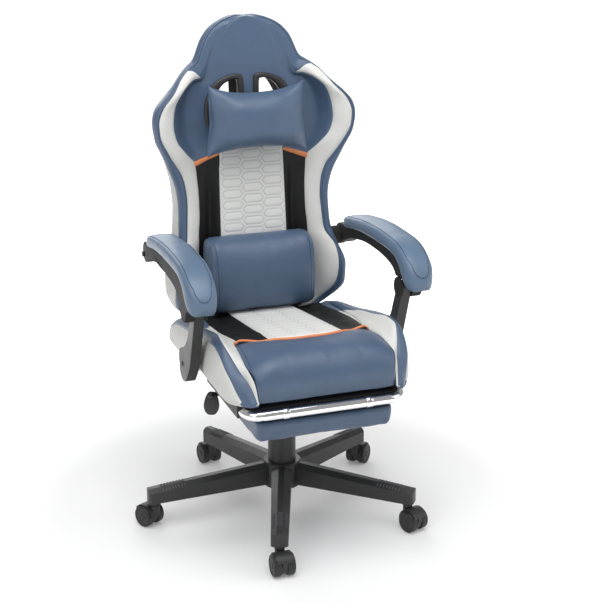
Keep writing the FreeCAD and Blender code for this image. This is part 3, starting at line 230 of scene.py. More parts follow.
def follow(*points):
    """Smooth curve through (position, value) pairs, with no overshoot."""
    s, f = np.array(points, float).T
    step = np.diff(s)
    slope = np.diff(f) / step
    tangent = np.zeros_like(f)
    tangent[0], tangent[-1] = slope[0], slope[-1]
    for i in range(1, len(f) - 1):
        if slope[i - 1] * slope[i] > 0:
            a, b = 2 * step[i] + step[i - 1], step[i] + 2 * step[i - 1]
            tangent[i] = (a + b) / (a / slope[i - 1] + b / slope[i])

    def at(x):
        x = np.clip(x, s[0], s[-1])
        i = np.clip(np.searchsorted(s, x) - 1, 0, len(step) - 1)
        t = (x - s[i]) / step[i]
        return ((1 + 2 * t) * (1 - t) ** 2 * f[i] + t * (1 - t) ** 2 * step[i] * tangent[i]
                + t * t * (3 - 2 * t) * f[i + 1] + t * t * (t - 1) * step[i] * tangent[i + 1])
    return at


def hump(x, middle, reach):
    """1 at the middle, easing to 0 at the given distance."""
    t = np.clip(1 - np.abs(x - middle) / reach, 0, 1)
    return t * t * (3 - 2 * t)


def through(keys, counts):
    """Points along a smooth line through the keys, counts[i] of them from key i to the next."""
    keys = np.array(keys, float)
    index = range(len(keys))
    lines = [follow(*zip(index, keys[:, axis])) for axis in range(keys.shape[1])]
    steps = np.concatenate([i + np.arange(n) / n for i, n in enumerate(counts)] + [[len(counts)]])
    return np.stack([line(steps) for line in lines], axis=1)


def made(name, verts, faces, finishes, picks=None, smooth=True):
    """A mesh piece in metres; picks says which finish each face has."""
    mesh = bpy.data.meshes.new(name)
    mesh.from_pydata([tuple(v) for v in verts], [], [tuple(f) for f in faces])
    for finish in finishes:
        mesh.materials.append(finish)
    if picks is not None:
        mesh.polygons.foreach_set("material_index", np.array(picks, np.int32))
    mesh.polygons.foreach_set("use_smooth", [smooth] * len(mesh.polygons))
    work = bmesh.new()
    work.from_mesh(mesh)
    bmesh.ops.recalc_face_normals(work, faces=work.faces)
    work.to_mesh(mesh)
    work.free()
    return linked(name, mesh)


def rings(name, grid, finishes, pick=None, ends=None):
    """Closed body through rings of points, grid[row][column], capped at both ends by a pole."""
    rows, columns = grid.shape[:2]
    verts = grid.reshape(-1, 3) * MM
    faces, picks = [], []
    for r in range(rows - 1):
        for c in range(columns):
            after = (c + 1) % columns
            here, above = r * columns, (r + 1) * columns
            faces.append((here + c, here + after, above + after, above + c))
            picks.append(pick(r, c) if pick else 0)
    poles = ends if ends is not None else (grid[0].mean(0), grid[-1].mean(0))
    verts = np.vstack([verts, np.array(poles) * MM])
    for end, row in ((0, 0), (1, rows - 1)):
        pole = rows * columns + end
        for c in range(columns):
            faces.append((row * columns + c, row * columns + (c + 1) % columns, pole))
            picks.append(pick(min(row, rows - 2), c) if pick else 0)
    return made(name, verts, faces, finishes, picks)


def subdivided(piece):
    modifier = piece.modifiers.new("round", "SUBSURF")
    modifier.levels = modifier.render_levels = 1
    return settled(piece)


def evaluated_mesh(holder):
    """A plain mesh of an object as its modifiers make it."""
    bpy.context.view_layer.update()
    return bpy.data.meshes.new_from_object(holder.evaluated_get(bpy.context.evaluated_depsgraph_get()))


def settled(piece):
    """Applies every modifier."""
    mesh = evaluated_mesh(piece)
    old = piece.data
    piece.modifiers.clear()
    piece.data = mesh
    bpy.data.meshes.remove(old)
    return piece


def linked(name, data):
    """A new object in the scene."""
    piece = bpy.data.objects.new(name, data)
    bpy.context.scene.collection.objects.link(piece)
    return piece


def prism(name, profile, near, far, along, finish, smooth=True):
    """Straight body with the given outline, from near to far along x (0) or y (1)."""
    count = len(profile)
    ring = [np.insert(point, along, way) for way in (near, far) for point in np.array(profile, float)]
    faces = [tuple(range(count)), tuple(range(2 * count - 1, count - 1, -1))]
    faces += [(i, (i + 1) % count, count + (i + 1) % count, count + i) for i in range(count)]
    return made(name, np.array(ring) * MM, faces, [finish], smooth=smooth)


def carved(piece, *cutters):
    """Cuts the cutters out of a piece and removes them."""
    for cutter in cutters:
        modifier = piece.modifiers.new("cut", "BOOLEAN")
        modifier.object, modifier.operation, modifier.solver = cutter, "DIFFERENCE", "EXACT"
    settled(piece)
    for cutter in cutters:
        bpy.data.objects.remove(cutter)
    return piece


def hand(side):
    """The word for a side of the chair: 1 is left, -1 is right."""
    return "left" if side > 0 else "right"


def positions(piece):
    """A piece's points in metres."""
    data = np.empty(len(piece.data.vertices) * 3, np.float32)
    piece.data.vertices.foreach_get("co", data)
    return data.reshape(-1, 3).astype(float)


def place(piece, points):
    piece.data.vertices.foreach_set("co", np.asarray(points, np.float32).ravel())
    piece.data.update()


PUFF_FRAMES = 20


def puffed(piece, pressure, cap, held, stiffness=15.0):
    """Inflates a cushion as cloth, by no more than the cap in mm; held points, such as seams, stay put."""
    start = positions(piece)
    group = piece.vertex_groups.new(name="held")
    for index, weight in enumerate(held):
        if weight > 0.01:
            group.add([index], float(weight), "REPLACE")
    modifier = piece.modifiers.new("cloth", "CLOTH")
    settings = modifier.settings
    settings.use_pressure = True
    settings.uniform_pressure_force = pressure
    settings.tension_stiffness = settings.compression_stiffness = stiffness
    settings.effector_weights.gravity = 0.0
    settings.vertex_group_mass = "held"
    modifier.point_cache.frame_start, modifier.point_cache.frame_end = 1, PUFF_FRAMES
    for number in range(1, PUFF_FRAMES + 1):
        bpy.context.scene.frame_set(number)
    settled(piece)
    bpy.context.scene.frame_set(1)
    moved = positions(piece) - start
    far = np.linalg.norm(moved, axis=1, keepdims=True)
    limit = cap * MM
    eased = limit * np.tanh(far / limit)
    place(piece, start + moved * np.where(far > 1e-9, eased / np.maximum(far, 1e-9), 1.0))
    piece.vertex_groups.clear()
    return piece


def band(name, line, normals, finish, width, thick, around=10):
    """Flat padded band along a line on a surface; width may change along it."""
    line, normals = np.array(line, float), np.array(normals, float)
    ahead = np.gradient(line, axis=0)
    ahead /= np.linalg.norm(ahead, axis=1, keepdims=True)
    across = np.cross(ahead, normals)
    across /= np.linalg.norm(across, axis=1, keepdims=True)
    width = np.broadcast_to(np.asarray(width, float), (len(line),))
    angles = np.linspace(0, 2 * math.pi, around, endpoint=False)
    grid = (line[:, None] + across[:, None] * (np.cos(angles)[None, :, None] * width[:, None, None] / 2)
            + normals[:, None] * (np.sin(angles)[None, :, None] * thick / 2))
    return rings(name, grid, [finish])


class Grown:
    """Geometry Nodes that grow a repeated form along lines; its sizes are named inputs, in millimetres."""

    def __init__(self, name, **sizes):
        self.name = name
        self.tree = bpy.data.node_groups.new(name + "_tree", "GeometryNodeTree")
        interface = self.tree.interface
        interface.new_socket("Geometry", in_out="INPUT", socket_type="NodeSocketGeometry")
        self.sizes = [(interface.new_socket(label, in_out="INPUT", socket_type="NodeSocketFloat"), value)
                      for label, value in sizes.items()]
        interface.new_socket("Geometry", in_out="OUTPUT", socket_type="NodeSocketGeometry")
        self.given = self.node("NodeGroupInput").outputs

    def node(self, kind, *links, **settings):
        return add_node(self.tree, kind, *links, **settings)

    def mesh(self, lines, grown, finish):
        """Runs the tree on the lines and returns the result as a plain mesh piece."""
        real = self.node("GeometryNodeRealizeInstances", (0, grown))
        paint = self.node("GeometryNodeSetMaterial", ("Geometry", real.outputs[0]), Material=finish)
        self.node("NodeGroupOutput", (0, paint.outputs[0]))
        curve = bpy.data.curves.new(self.name + "_lines", "CURVE")
        curve.dimensions = "3D"
        for line in lines:
            spline = curve.splines.new("POLY")
            spline.points.add(len(line) - 1)
            for point, where in zip(spline.points, np.array(line) * MM):
                point.co = (*where, 1.0)
        holder = linked(self.name + "_lines", curve)
        modifier = holder.modifiers.new("grown", "NODES")
        modifier.node_group = self.tree
        for socket, value in self.sizes:
            modifier[socket.identifier] = value * MM
        mesh = evaluated_mesh(holder)
        mesh.name = self.name
        bpy.data.objects.remove(holder)
        for face in mesh.polygons:
            face.use_smooth = True
        return linked(self.name, mesh)


def stitched(name, line, finish):
    """Row of short raised stitches along a line."""
    rows = Grown(name, Pitch=4.2, Length=2.8, Radius=0.45)
    given = rows.given
    spread = rows.node("GeometryNodeCurveToPoints", ("Curve", given["Geometry"]), ("Length", given["Pitch"]),
                       mode="LENGTH")
    bead = rows.node("GeometryNodeMeshUVSphere", ("Radius", given["Radius"]), Segments=6, Rings=4)
    ratio = rows.node("ShaderNodeMath", (0, given["Length"]), (1, given["Radius"]), operation="DIVIDE")
    half = rows.node("ShaderNodeMath", (0, ratio.outputs[0]), operation="MULTIPLY")
    half.inputs[1].default_value = 0.5
    size = rows.node("ShaderNodeCombineXYZ", ("Z", half.outputs[0]), X=1.0, Y=1.0)
    put = rows.node("GeometryNodeInstanceOnPoints", ("Points", spread.outputs["Points"]),
                    ("Instance", bead.outputs["Mesh"]), ("Rotation", spread.outputs["Rotation"]),
                    ("Scale", size.outputs[0]))
    return rows.mesh([line], put.outputs[0], finish)


def ribbed(name, lines, finish, radius):
    """Raised round ribs along a set of lines."""
    ribs = Grown(name, Radius=radius)
    profile = ribs.node("GeometryNodeCurvePrimitiveCircle", ("Radius", ribs.given["Radius"]), Resolution=10)
    sweep = ribs.node("GeometryNodeCurveToMesh", ("Curve", ribs.given["Geometry"]),
                      ("Profile Curve", profile.outputs["Curve"]), Fill_Caps=True)
    return ribs.mesh(lines, sweep.outputs["Mesh"], finish)


def merged(name, pieces):
    """One piece out of several, each face keeping its finish."""
    work = bmesh.new()
    finishes = []
    for piece in pieces:
        before = len(work.faces)
        work.from_mesh(piece.data)
        work.faces.ensure_lookup_table()
        own = list(piece.data.materials)
        for finish in own:
            if finish not in finishes:
                finishes.append(finish)
        for face in work.faces[before:]:
            face.material_index = finishes.index(own[face.material_index]) if own else 0
        bpy.data.objects.remove(piece)
    mesh = bpy.data.meshes.new(name)
    work.to_mesh(mesh)
    work.free()
    for finish in finishes:
        mesh.materials.append(finish)
    return linked(name, mesh)


def belongs(piece, body, slot, *replaced):
    """Puts a piece on its body, in place of the solids it stands for; slot is not used."""
    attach(piece, body)
    if replaced:
        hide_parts(*replaced)
    return piece


# ---- upholstery sections ----------------------------------------------------------------------

SEAM_DEPTH, SEAM_EDGE = 2.2, 2.6
FINE_STEPS = 20            # points between two keys of a section, before its columns are picked
NORMAL_REACH = 1.5         # mm on either side, over which a section's outward side is measured


def padded_run(keys, spans, outward=1.0, groove=SEAM_DEPTH):
    """Section through the keys, gathered in at its seams and crowned between them.

    Each span is (last key, columns, crown); groove is one depth, or one for each seam between spans.
    Returns the points and the span of each column.
    """
    grooves = [0.0, *np.broadcast_to(groove, len(spans) - 1)]
    line = through(keys, [FINE_STEPS] * (len(keys) - 1))
    run = np.concatenate([[0], np.cumsum(np.linalg.norm(np.diff(line, axis=0), axis=1))])
    stations, lifts, owners = [], [], []
    first = 0
    for number, (last, columns, crown) in enumerate(spans):
        start, end = run[first * FINE_STEPS], run[last * FINE_STEPS]
        edge = min(SEAM_EDGE, 0.2 * (end - start))
        inner = np.linspace(start + edge, end - edge, columns)
        share = (inner - start) / max(end - start, 1e-6)
        stations += [start, *inner]
        lifts += [-grooves[number], *(crown * (1 - np.abs(2 * share - 1) ** 2.6))]
        owners += [number] * (columns + 1)
        first = last
    stations = np.array(stations)

    def at(where):
        return np.stack([np.interp(where, run, line[:, axis]) for axis in (0, 1)], axis=1)
    points = at(stations)
    ahead = at(stations + NORMAL_REACH) - at(stations - NORMAL_REACH)
    ahead /= np.maximum(np.linalg.norm(ahead, axis=1, keepdims=True), 1e-9)
    normal = np.stack([ahead[:, 1], -ahead[:, 0]], axis=1) * outward
    return points + normal * np.array(lifts)[:, None], np.array(owners)


def whole_section(half, owners, middle_first, middle_last):
    """Closes a right-hand half section, from one middle to the other, with its mirror image."""
    mirror = half[::-1] * (-1, 1)
    points = np.vstack([[middle_first], half[1:], [middle_last], mirror[:-1]])
    return points, np.concatenate([owners, owners[::-1]])


def seams_of(owners):
    """1 at each column where one span of a section meets the next."""
    return np.concatenate([[0], np.diff(owners) != 0]).astype(float)


def with_poles(held, poles=1.0):
    """How firmly each point of a ringed body is held, then its two poles."""
    return np.concatenate([np.ravel(held), [poles, poles]])


def soft_noise(points, size, amount):
    """Smooth unevenness of the given size and amount, both in mm, at each point."""
    return np.array([noise.noise(Vector(p) / (size * MM)) for p in points])[:, None] * amount * MM


def rumpled(piece, size=45.0, amount=0.9):
    """Slow unevenness of foam under cloth."""
    mesh = piece.data
    normals = np.array([v.normal for v in mesh.vertices])
    start = positions(piece)
    swell = soft_noise(start, size, amount) + soft_noise(start, size / 3, amount / 4)
    place(piece, start + normals * swell)
    return piece


# ---- back -------------------------------------------------------------------------------------

BACK_LEAN, BACK_FOOT, FOOT_Y = 0.09, 478.0, 196.0
back_half_width = follow((478, 168), (500, 206), (522, 222), (550, 231), (607, 231), (660, 217), (710, 206),
                         (779, 203), (821, 208), (884, 230), (927, 249), (955, 262), (1000, 268),
                         (1027, 262), (1055, 238), (1090, 197), (1124, 153), (1146, 138), (1175, 126),
                         (1199, 114), (1215, 100), (1228, 82), (1237, 62), (1243, 40), (1245, 22))
wing_rise = follow((478, 0), (500, 6), (522, 28), (556, 60), (607, 70), (660, 44), (710, 26), (779, 24),
                   (855, 36), (900, 50), (950, 64), (1000, 69), (1050, 65), (1080, 54), (1100, 34),
                   (1120, 13), (1140, 7), (1175, 5), (1215, 0), (1237, -10), (1245, -22))
wing_foot = follow((478, 120), (500, 142), (556, 155), (607, 156), (660, 152), (710, 147), (779, 145),
                   (855, 149), (927, 140), (1000, 128), (1090, 118), (1128, 90), (1175, 66), (1215, 40),
                   (1245, 8))
back_depth = follow((478, 90), (500, 96), (607, 92), (710, 86), (1000, 84), (1090, 80), (1128, 76),
                    (1175, 66), (1200, 56), (1220, 46), (1234, 38), (1245, 32))
side_rear = follow((478, 264), (607, 270), (710, 274), (855, 278), (927, 280), (1000, 292), (1090, 302),
                   (1128, 304), (1175, 300), (1200, 296), (1220, 292), (1234, 288), (1245, 286))
side_tuck = follow((478, 2), (700, 1), (800, 1), (860, 8), (930, 28), (1030, 38), (1090, 32), (1128, 24),
                   (1200, 16), (1245, 4))
inner_seam = follow((478, 112), (500, 138), (540, 150), (600, 153), (655, 149), (700, 147), (754, 143),
                    (802, 143), (847, 146), (872, 148), (886, 150), (905, 168), (924, 184), (945, 200),
                    (960, 206), (990, 211), (1015, 209), (1040, 203), (1060, 194), (1075, 182), (1088, 160),
                    (1098, 136), (1118, 121), (1140, 110), (1199, 84), (1228, 52), (1245, 9))
outer_seam = follow((478, 142), (489, 158), (513, 185), (545, 203), (583, 209), (613, 210), (651, 207),
                    (692, 185), (738, 181), (781, 178), (824, 181), (863, 192), (894, 211), (927, 231),
                    (974, 252), (1003, 254), (1037, 242), (1067, 214), (1095, 186), (1118, 150),
                    (1140, 130), (1175, 115), (1199, 103), (1215, 89), (1228, 71), (1237, 52), (1245, 16))
PANEL_TOP, WHITE_TOP, SIDE_WHITE_TOP = 905.0, 1109.0, 915.0
BAND_Z, BAND_X, BAND_RUN, BAND_SLOPE = 882.0, 151.0, 70.0, 0.36


def back_front(z):
    return FOOT_Y + BACK_LEAN * (z - BACK_FOOT)


def panel_half(z):
    return np.interp(z, (500, 696, 900), (93, 89, 86))


def back_relief(x, z):
    """Front of the back cover at one place: middle panel, then the ramp up to the wing."""
    foot, edge = wing_foot(z), back_half_width(z) - 15
    share = np.clip((np.abs(x) - foot) / np.maximum(edge - foot, 1), 0, 1)
    return back_front(z) - wing_rise(z) * share ** 1.04


def band_warp(x, z):
    """How far a row of the cover leaves the level, to follow the piping and the ends of the white bands."""
    band_end = 12 * np.clip((np.abs(x) - 137) / 12, -1, 1) * hump(z, 1110, 40)
    return BAND_SLOPE * np.clip(BAND_X - np.abs(x), 0, BAND_RUN) * hump(z, BAND_Z, 95) + band_end


def back_row(z):
    """Level section of the back: panel, valley, white band, wing, side, rear."""
    width, front, wing = back_half_width(z), back_front(z), wing_rise(z)
    rear, side = front + back_depth(z), min(side_rear(z), front + back_depth(z) - 6)
    inner, outer = inner_seam(z), outer_seam(z)
    below_band = hump(z, 690, 215) ** 0.5
    tuck = side_tuck(z)
    head = z > WHITE_TOP + 9
    panel = min(panel_half(z), 0.62 * inner)
    valley = panel + 0.42 * (inner - panel)
    wing_y = front - wing
    amid = (inner + outer) / 2
    keys = [(0, front), (panel, front), (0.35 * panel + 0.65 * valley, front + 13 * below_band),
            (valley, front + 21 * below_band + 1), (0.5 * (valley + inner), front + 10 * below_band + 1),
            (inner, back_relief(inner, z)), (amid, back_relief(amid, z)), (outer, back_relief(outer, z) + 1),
            ((outer + width) / 2, wing_y - 1), (width - 4, wing_y + 5), (width, wing_y + 17),
            (width - 0.45 * tuck, (wing_y + 17 + side) / 2), (width - tuck - 3, side - 4),
            (width - tuck - 18, 0.5 * (side + rear)), (width - tuck - 38, rear), (0, rear)]
    keys = [(max(x, 0.0), y) for x, y in keys]
    spans = [(1, 6, 0.0), (5, 13, 0.0), (7, 7, 0.0 if head else 4.0), (10, 7, 1.5), (14, 12, 3.5),
             (15, 9, 3.0)]
    grooves = (SEAM_DEPTH * (z < PANEL_TOP), 0.0 if head else SEAM_DEPTH, SEAM_DEPTH, SEAM_DEPTH, SEAM_DEPTH)
    half, owners = padded_run(keys, spans, groove=grooves)
    return whole_section(half, owners, (0, front), (0, rear + 3))


SLOT_LIP = ((13, 1000), (13, 1086), (24, 1102), (50, 1101), (84, 1088), (104, 1066), (117, 1036), (120, 1000),
            (112, 970), (84, 958), (40, 962), (18, 976))
SLOT_HOLE = ((29, 1000), (29, 1078), (36, 1088), (50, 1086), (70, 1074), (86, 1050), (97, 1024), (101, 1000),
             (95, 982), (78, 974), (46, 976), (34, 984))
SLOT_STEPS = 6             # points from one corner of a slot to the next
SLOT_ROWS = (905, 1115)    # heights between which the middle of the back is held firmly for the slots


def slot_outline(corners):
    """Closed smooth curve through the corners of a harness slot."""
    keys = np.array(corners, float)
    before, after, beyond = np.roll(keys, 1, 0), np.roll(keys, -1, 0), np.roll(keys, -2, 0)
    t = (np.arange(SLOT_STEPS) / SLOT_STEPS)[None, :, None]
    a, b, c, d = (k[:, None, :] for k in (before, keys, after, beyond))
    curve = b + 0.5 * t * (c - a + t * (2 * a - 5 * b + 4 * c - d + t * (3 * (b - c) + d - a)))
    return curve.reshape(-1, 2)


def slot_bezel(side):
    """Moulded frame of one harness slot: a broad rounded lip in front, a sleeve through, a lip behind."""
    lip, hole = slot_outline(SLOT_LIP), slot_outline(SLOT_HOLE)
    around = ((0.0, 2), (-0.02, -2), (0.12, -5.2), (0.45, -6.4), (0.8, -5.2), (0.97, -2.5), (1.0, 4),
              (1.0, 40), (1.0, 80), (0.95, 87), (0.7, 90), (0.3, 89), (0.1, 86), (0.1, 82), (0.8, 80),
              (0.8, 40), (0.8, 6))
    rows = []
    for share, deep in around:
        line = lip + (hole - lip) * share
        rows.append(np.column_stack([line[:, 0] * side, back_front(line[:, 1]) + deep, line[:, 1]]))
    grid = np.array(rows)
    count, columns = grid.shape[:2]
    faces = [(r * columns + c, r * columns + (c + 1) % columns, (r + 1) % count * columns + (c + 1) % columns,
              (r + 1) % count * columns + c) for r in range(count) for c in range(columns)]
    # The sleeve walls inside the slot take the darker black: painted shade.
    picks = [int(5 < face // columns < 9 or face // columns > 12) for face in range(len(faces))]
    piece = made("slot_bezel_" + hand(side), grid.reshape(-1, 3) * MM, faces,
                 [moulded_black, slot_sleeve_painted_shade], picks)
    return belongs(subdivided(piece), "back", "nylon_black", "harness_bezel_" + hand(side))


def back_cover():
    """The whole back as one sewn cover, with the two harness slots cut through it."""
    heights = np.concatenate([np.arange(478, 1206, 8.0),
                              (1212, 1219, 1225, 1230, 1234, 1238, 1241, 1243.5, 1245)])
    rows, owners = [], None
    for z in heights:
        points, owners = back_row(z)
        rows.append(np.column_stack([points, z + band_warp(points[:, 0], z)]))
    grid = np.array(rows)
    blue, white, black = range(3)            # in the order of the cover's finishes

    def pick(row, column):
        span, z = owners[column], heights[row]
        if span in (0, 1):
            return blue if z > BAND_Z - 4 else black
        if span == 2:
            return white if z < WHITE_TOP else blue
        if span == 4:
            return white if z < SIDE_WHITE_TOP else blue
        return blue
    low, high = grid[0].mean(0), grid[-1].mean(0)
    piece = rings("back_cover", grid, [blue_cloth, white_cloth, black_cloth], pick, (low, high + (0, 0, 0.6)))
    firm = np.where((heights > SLOT_ROWS[0]) & (heights < SLOT_ROWS[1]), 1.0, 0.9)
    held = np.maximum(seams_of(owners)[None, :], np.isin(owners, (0, 1))[None, :] * firm[:, None])
    puffed(piece, 3.0, 5.0, with_poles(held))
    rumpled(subdivided(piece))
    inside = 0.45 * slot_outline(SLOT_LIP) + 0.55 * slot_outline(SLOT_HOLE)
    carved(piece, *[prism("slot_cutter", inside * (side, 1), 150, 420, 1, black_cloth, smooth=False)
                    for side in (-1, 1)])
    return belongs(piece, "back", "fabric_blue", "back_cushion")


HEX_PITCH, HEX_HEIGHT, HEX_POINT, STITCH_IN = 55.0, 29.0, 12.0, 4.2
CELL_PUFF, RIDGE_RISE, LINE_WIDTH = 1.7, 1.2, 1.1
PANEL_LIFT, PANEL_RIM, PANEL_SUNK, PANEL_MARGIN, PANEL_STEP = 0.4, 2.0, 4.0, 7.0, 1.7


def quilt_height(u, v):
    """Relief of the hexagon quilting: puffed cells, stitched lines, and a low ridge between them; then the
    weight of the painted groove shade.
    """
    half_high = HEX_HEIGHT / 2
    long, short = (HEX_PITCH + HEX_POINT) / 2, (HEX_PITCH - HEX_POINT) / 2
    best = np.full(np.shape(u), -1e3)
    column = np.floor(u / HEX_PITCH)
    for extra in (0, 1):
        number = column + extra
        across = np.abs(u - number * HEX_PITCH)
        offset = np.where(number % 2 == 0, 0.0, half_high)
        up = np.abs((v - offset + half_high) % HEX_HEIGHT - half_high)
        slant = ((long - across) * half_high - up * (long - short)) / math.hypot(half_high, long - short)
        best = np.maximum(best, np.minimum(half_high - up, slant))
    puff = CELL_PUFF * (1 - np.exp(-np.clip(best - STITCH_IN, 0, None) / 1.6))
    ridge = RIDGE_RISE * (1 - np.clip(best / STITCH_IN, 0, 1) ** 3)
    return np.where(best > STITCH_IN, puff, ridge), np.exp(-((best - STITCH_IN) / LINE_WIDTH) ** 2)


def quilted(name, surface, normal, half, start, end, finish):
    """Raised quilted panel on a surface: surface(u, v) gives its points, normal(u, v) its outward side."""
    rows = int((end - start) / PANEL_STEP)
    columns = 2 * int(half(start) / PANEL_STEP) + 1
    v = np.linspace(start, end, rows)[:, None] * np.ones(columns)
    share = np.linspace(-1, 1, columns)[None, :] * np.ones((rows, 1))
    u = share * half(v)
    rim = np.minimum(half(v) - np.abs(u), np.minimum(v - start, end - v))
    edge = 1 - (1 - np.clip(rim / PANEL_MARGIN, 0, 1)) ** 3
    relief, sewn = quilt_height(u, v)
    inside = np.clip((rim - 2) / 6, 0, 1)
    lift = PANEL_LIFT + PANEL_RIM * edge + relief * inside
    top = surface(u, v) + normal(u, v) * lift[..., None]
    under = surface(u, v) - normal(u, v) * PANEL_SUNK
    verts = np.vstack([top.reshape(-1, 3), under.reshape(-1, 3)]) * MM
    index = np.arange(rows * columns).reshape(rows, columns)
    quads = np.stack([index[:-1, :-1], index[:-1, 1:], index[1:, 1:], index[1:, :-1]], -1).reshape(-1, 4)
    rim_line = np.concatenate([index[0, :-1], index[:-1, -1], index[-1, :0:-1], index[:0:-1, 0]])
    below = rows * columns
    faces = [tuple(q) for q in quads] + [tuple(q[::-1] + below) for q in quads]
    for a, b in zip(rim_line, np.roll(rim_line, -1)):
        faces.append((b, a, a + below, b + below))
    piece = made(name, verts, faces, [finish])
    # Weight of the painted groove shade, 1 along the stitched lines.
    lines = piece.data.attributes.new("sewn", "FLOAT", "POINT")
    lines.data.foreach_set("value", np.concatenate([(sewn * inside).ravel(), np.zeros(below)]))
    return piece


def stacked(x, y, z):
    """Points out of three coordinates, each of them one number or a whole grid."""
    x, y, z = np.broadcast_arrays(x, y, z)
    return np.stack([x, y, z], -1).astype(float)


def back_surface(u, v):
    """Front of the back at the middle panel; u across, v up."""
    return stacked(u, back_front(v), v + 0.0)


def towards_sitter(u, v):
    return stacked(0 * u, -1 / math.hypot(1, BACK_LEAN), BACK_LEAN / math.hypot(1, BACK_LEAN))


def back_panel():
    piece = quilted("back_quilted_panel", back_surface, towards_sitter, panel_half, 498.0, 918.0, quilt_cloth_painted_light_shade)
    return belongs(piece, "back", "fabric_white")


TOWARDS_BACK, DOWN = (0, 1, 0), (0, 0, -1)


class Laid:
    """Finds points on a finished cover, so that piping and stitches lie on it."""

    def __init__(self, piece):
        self.tree = BVHTree.FromObject(piece, bpy.context.evaluated_depsgraph_get())

    def line(self, starts, way, lift):
        """Where rays from the starts meet the cover, lifted off it by some mm, and its normals there."""
        points, normals = [], []
        for start in starts:
            hit, normal = self.tree.ray_cast(Vector(start) * MM, Vector(way).normalized())[:2]
            if hit is not None:
                points.append((hit + normal * lift * MM) / MM)
                normals.append(normal)
        return np.array(points), np.array(normals)


def evened(points, width=3):
    """A line with its small kinks smoothed away."""
    padded = np.vstack([np.repeat(points[:1], width, 0), points, np.repeat(points[-1:], width, 0)])
    weights = np.hanning(2 * width + 3)[1:-1]
    weights /= weights.sum()
    return np.stack([np.convolve(column, weights, "valid") for column in padded.T], axis=1)


def back_piping(cover):
    """Orange bands that slope down from the white sides to the middle panel."""
    bands = []
    for side in (-1, 1):
        x = np.linspace(BAND_X + 2, 86, 40)
        z = BAND_Z + BAND_SLOPE * np.clip(BAND_X - x, 0, BAND_RUN)
        points, normals = cover.line(np.column_stack([x * side, 0 * x, z]), TOWARDS_BACK, 0.5)
        width = np.linspace(14, 8, len(points))
        bands.append(band("piping", evened(points), normals, orange_cloth, width, 3.4))
    return belongs(merged("back_piping", bands), "back", "fabric_blue")


# ---- seat -------------------------------------------------------------------------------------

SEAT_SIDE, SEAT_NOSE, SEAT_TAIL, SEAT_TOP, SEAT_TAIL_TOP = 189.7, -336.0, 191.0, 546.0, 498.0
SEAT_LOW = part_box("seat_cushion")[0][2] / MM
seat_drop = follow((0, 0), (120, 4), (160, 13), (176, 20), (190, 26))
seat_setback = follow((0, 0), (150, 0), (178, 1), (190, 5))
seat_stripe = follow((-336, 178), (-201, 172), (-142, 169), (-40, 174), (40, 172), (163, 163), (191, 162))
seat_side = follow((-341, 172), (-327, 174), (-301, 183), (-246, 180), (-142, 172), (-60, 184), (0, 189.7),
                   (191, 189.7))


def seat_panel_half(y):
    return np.interp(y, (-201, 163), (94, 88))


def seat_top(x, y):
    drop = seat_drop(np.abs(x))
    ahead = SEAT_TOP - drop + 0.45 * drop * np.clip((y + 306) / 120, 0, 1)
    fall = np.clip((y + 186) / 333, 0, 1) * (SEAT_TAIL_TOP - 0.1 * drop - (SEAT_TOP - 0.55 * drop))
    return ahead + fall - 9 * np.clip((y - 150) / 41, 0, 1) ** 2


def seat_band_y(x):
    return -201 + 48 * (np.clip(np.abs(x) / 168, 0, 1)) ** 2.2


def seat_row(x):
    """Section of the seat from front to rear: underside, front roll, sitting part, tail."""
    front = SEAT_NOSE + seat_setback(abs(x))
    top = seat_top(x, -300.0)
    band_y = seat_band_y(x)
    nose_z = SEAT_LOW + 0.45 * (top - SEAT_LOW)
    keys = [(-60, SEAT_LOW), (front + 22, SEAT_LOW), (front + 3, SEAT_LOW + 16), (front - 1, nose_z),
            (front + 6, nose_z + 0.55 * (top - nose_z)), (front + 24, top - 7), (front + 52, top + 1),
            (0.5 * (front + 52 + band_y), seat_top(x, 0.5 * (front + 52 + band_y)) + 2),
            (band_y, seat_top(x, band_y)), (-20, seat_top(x, -20)), (130, seat_top(x, 130)),
            (SEAT_TAIL - 14, seat_top(x, 177)), (SEAT_TAIL, seat_top(x, 191) - 8), (SEAT_TAIL, SEAT_LOW + 4),
            (SEAT_TAIL - 20, SEAT_LOW), (-60, SEAT_LOW)]
    spans = [(2, 5, 0.0), (8, 24, 4.0), (12, 30, 0.0), (15, 10, 0.0)]
    return padded_run(keys, spans, -1.0)


STRIPE_X, BEND_X = 150.0, 140.0        # where black turns to white; where the rows start to follow the side


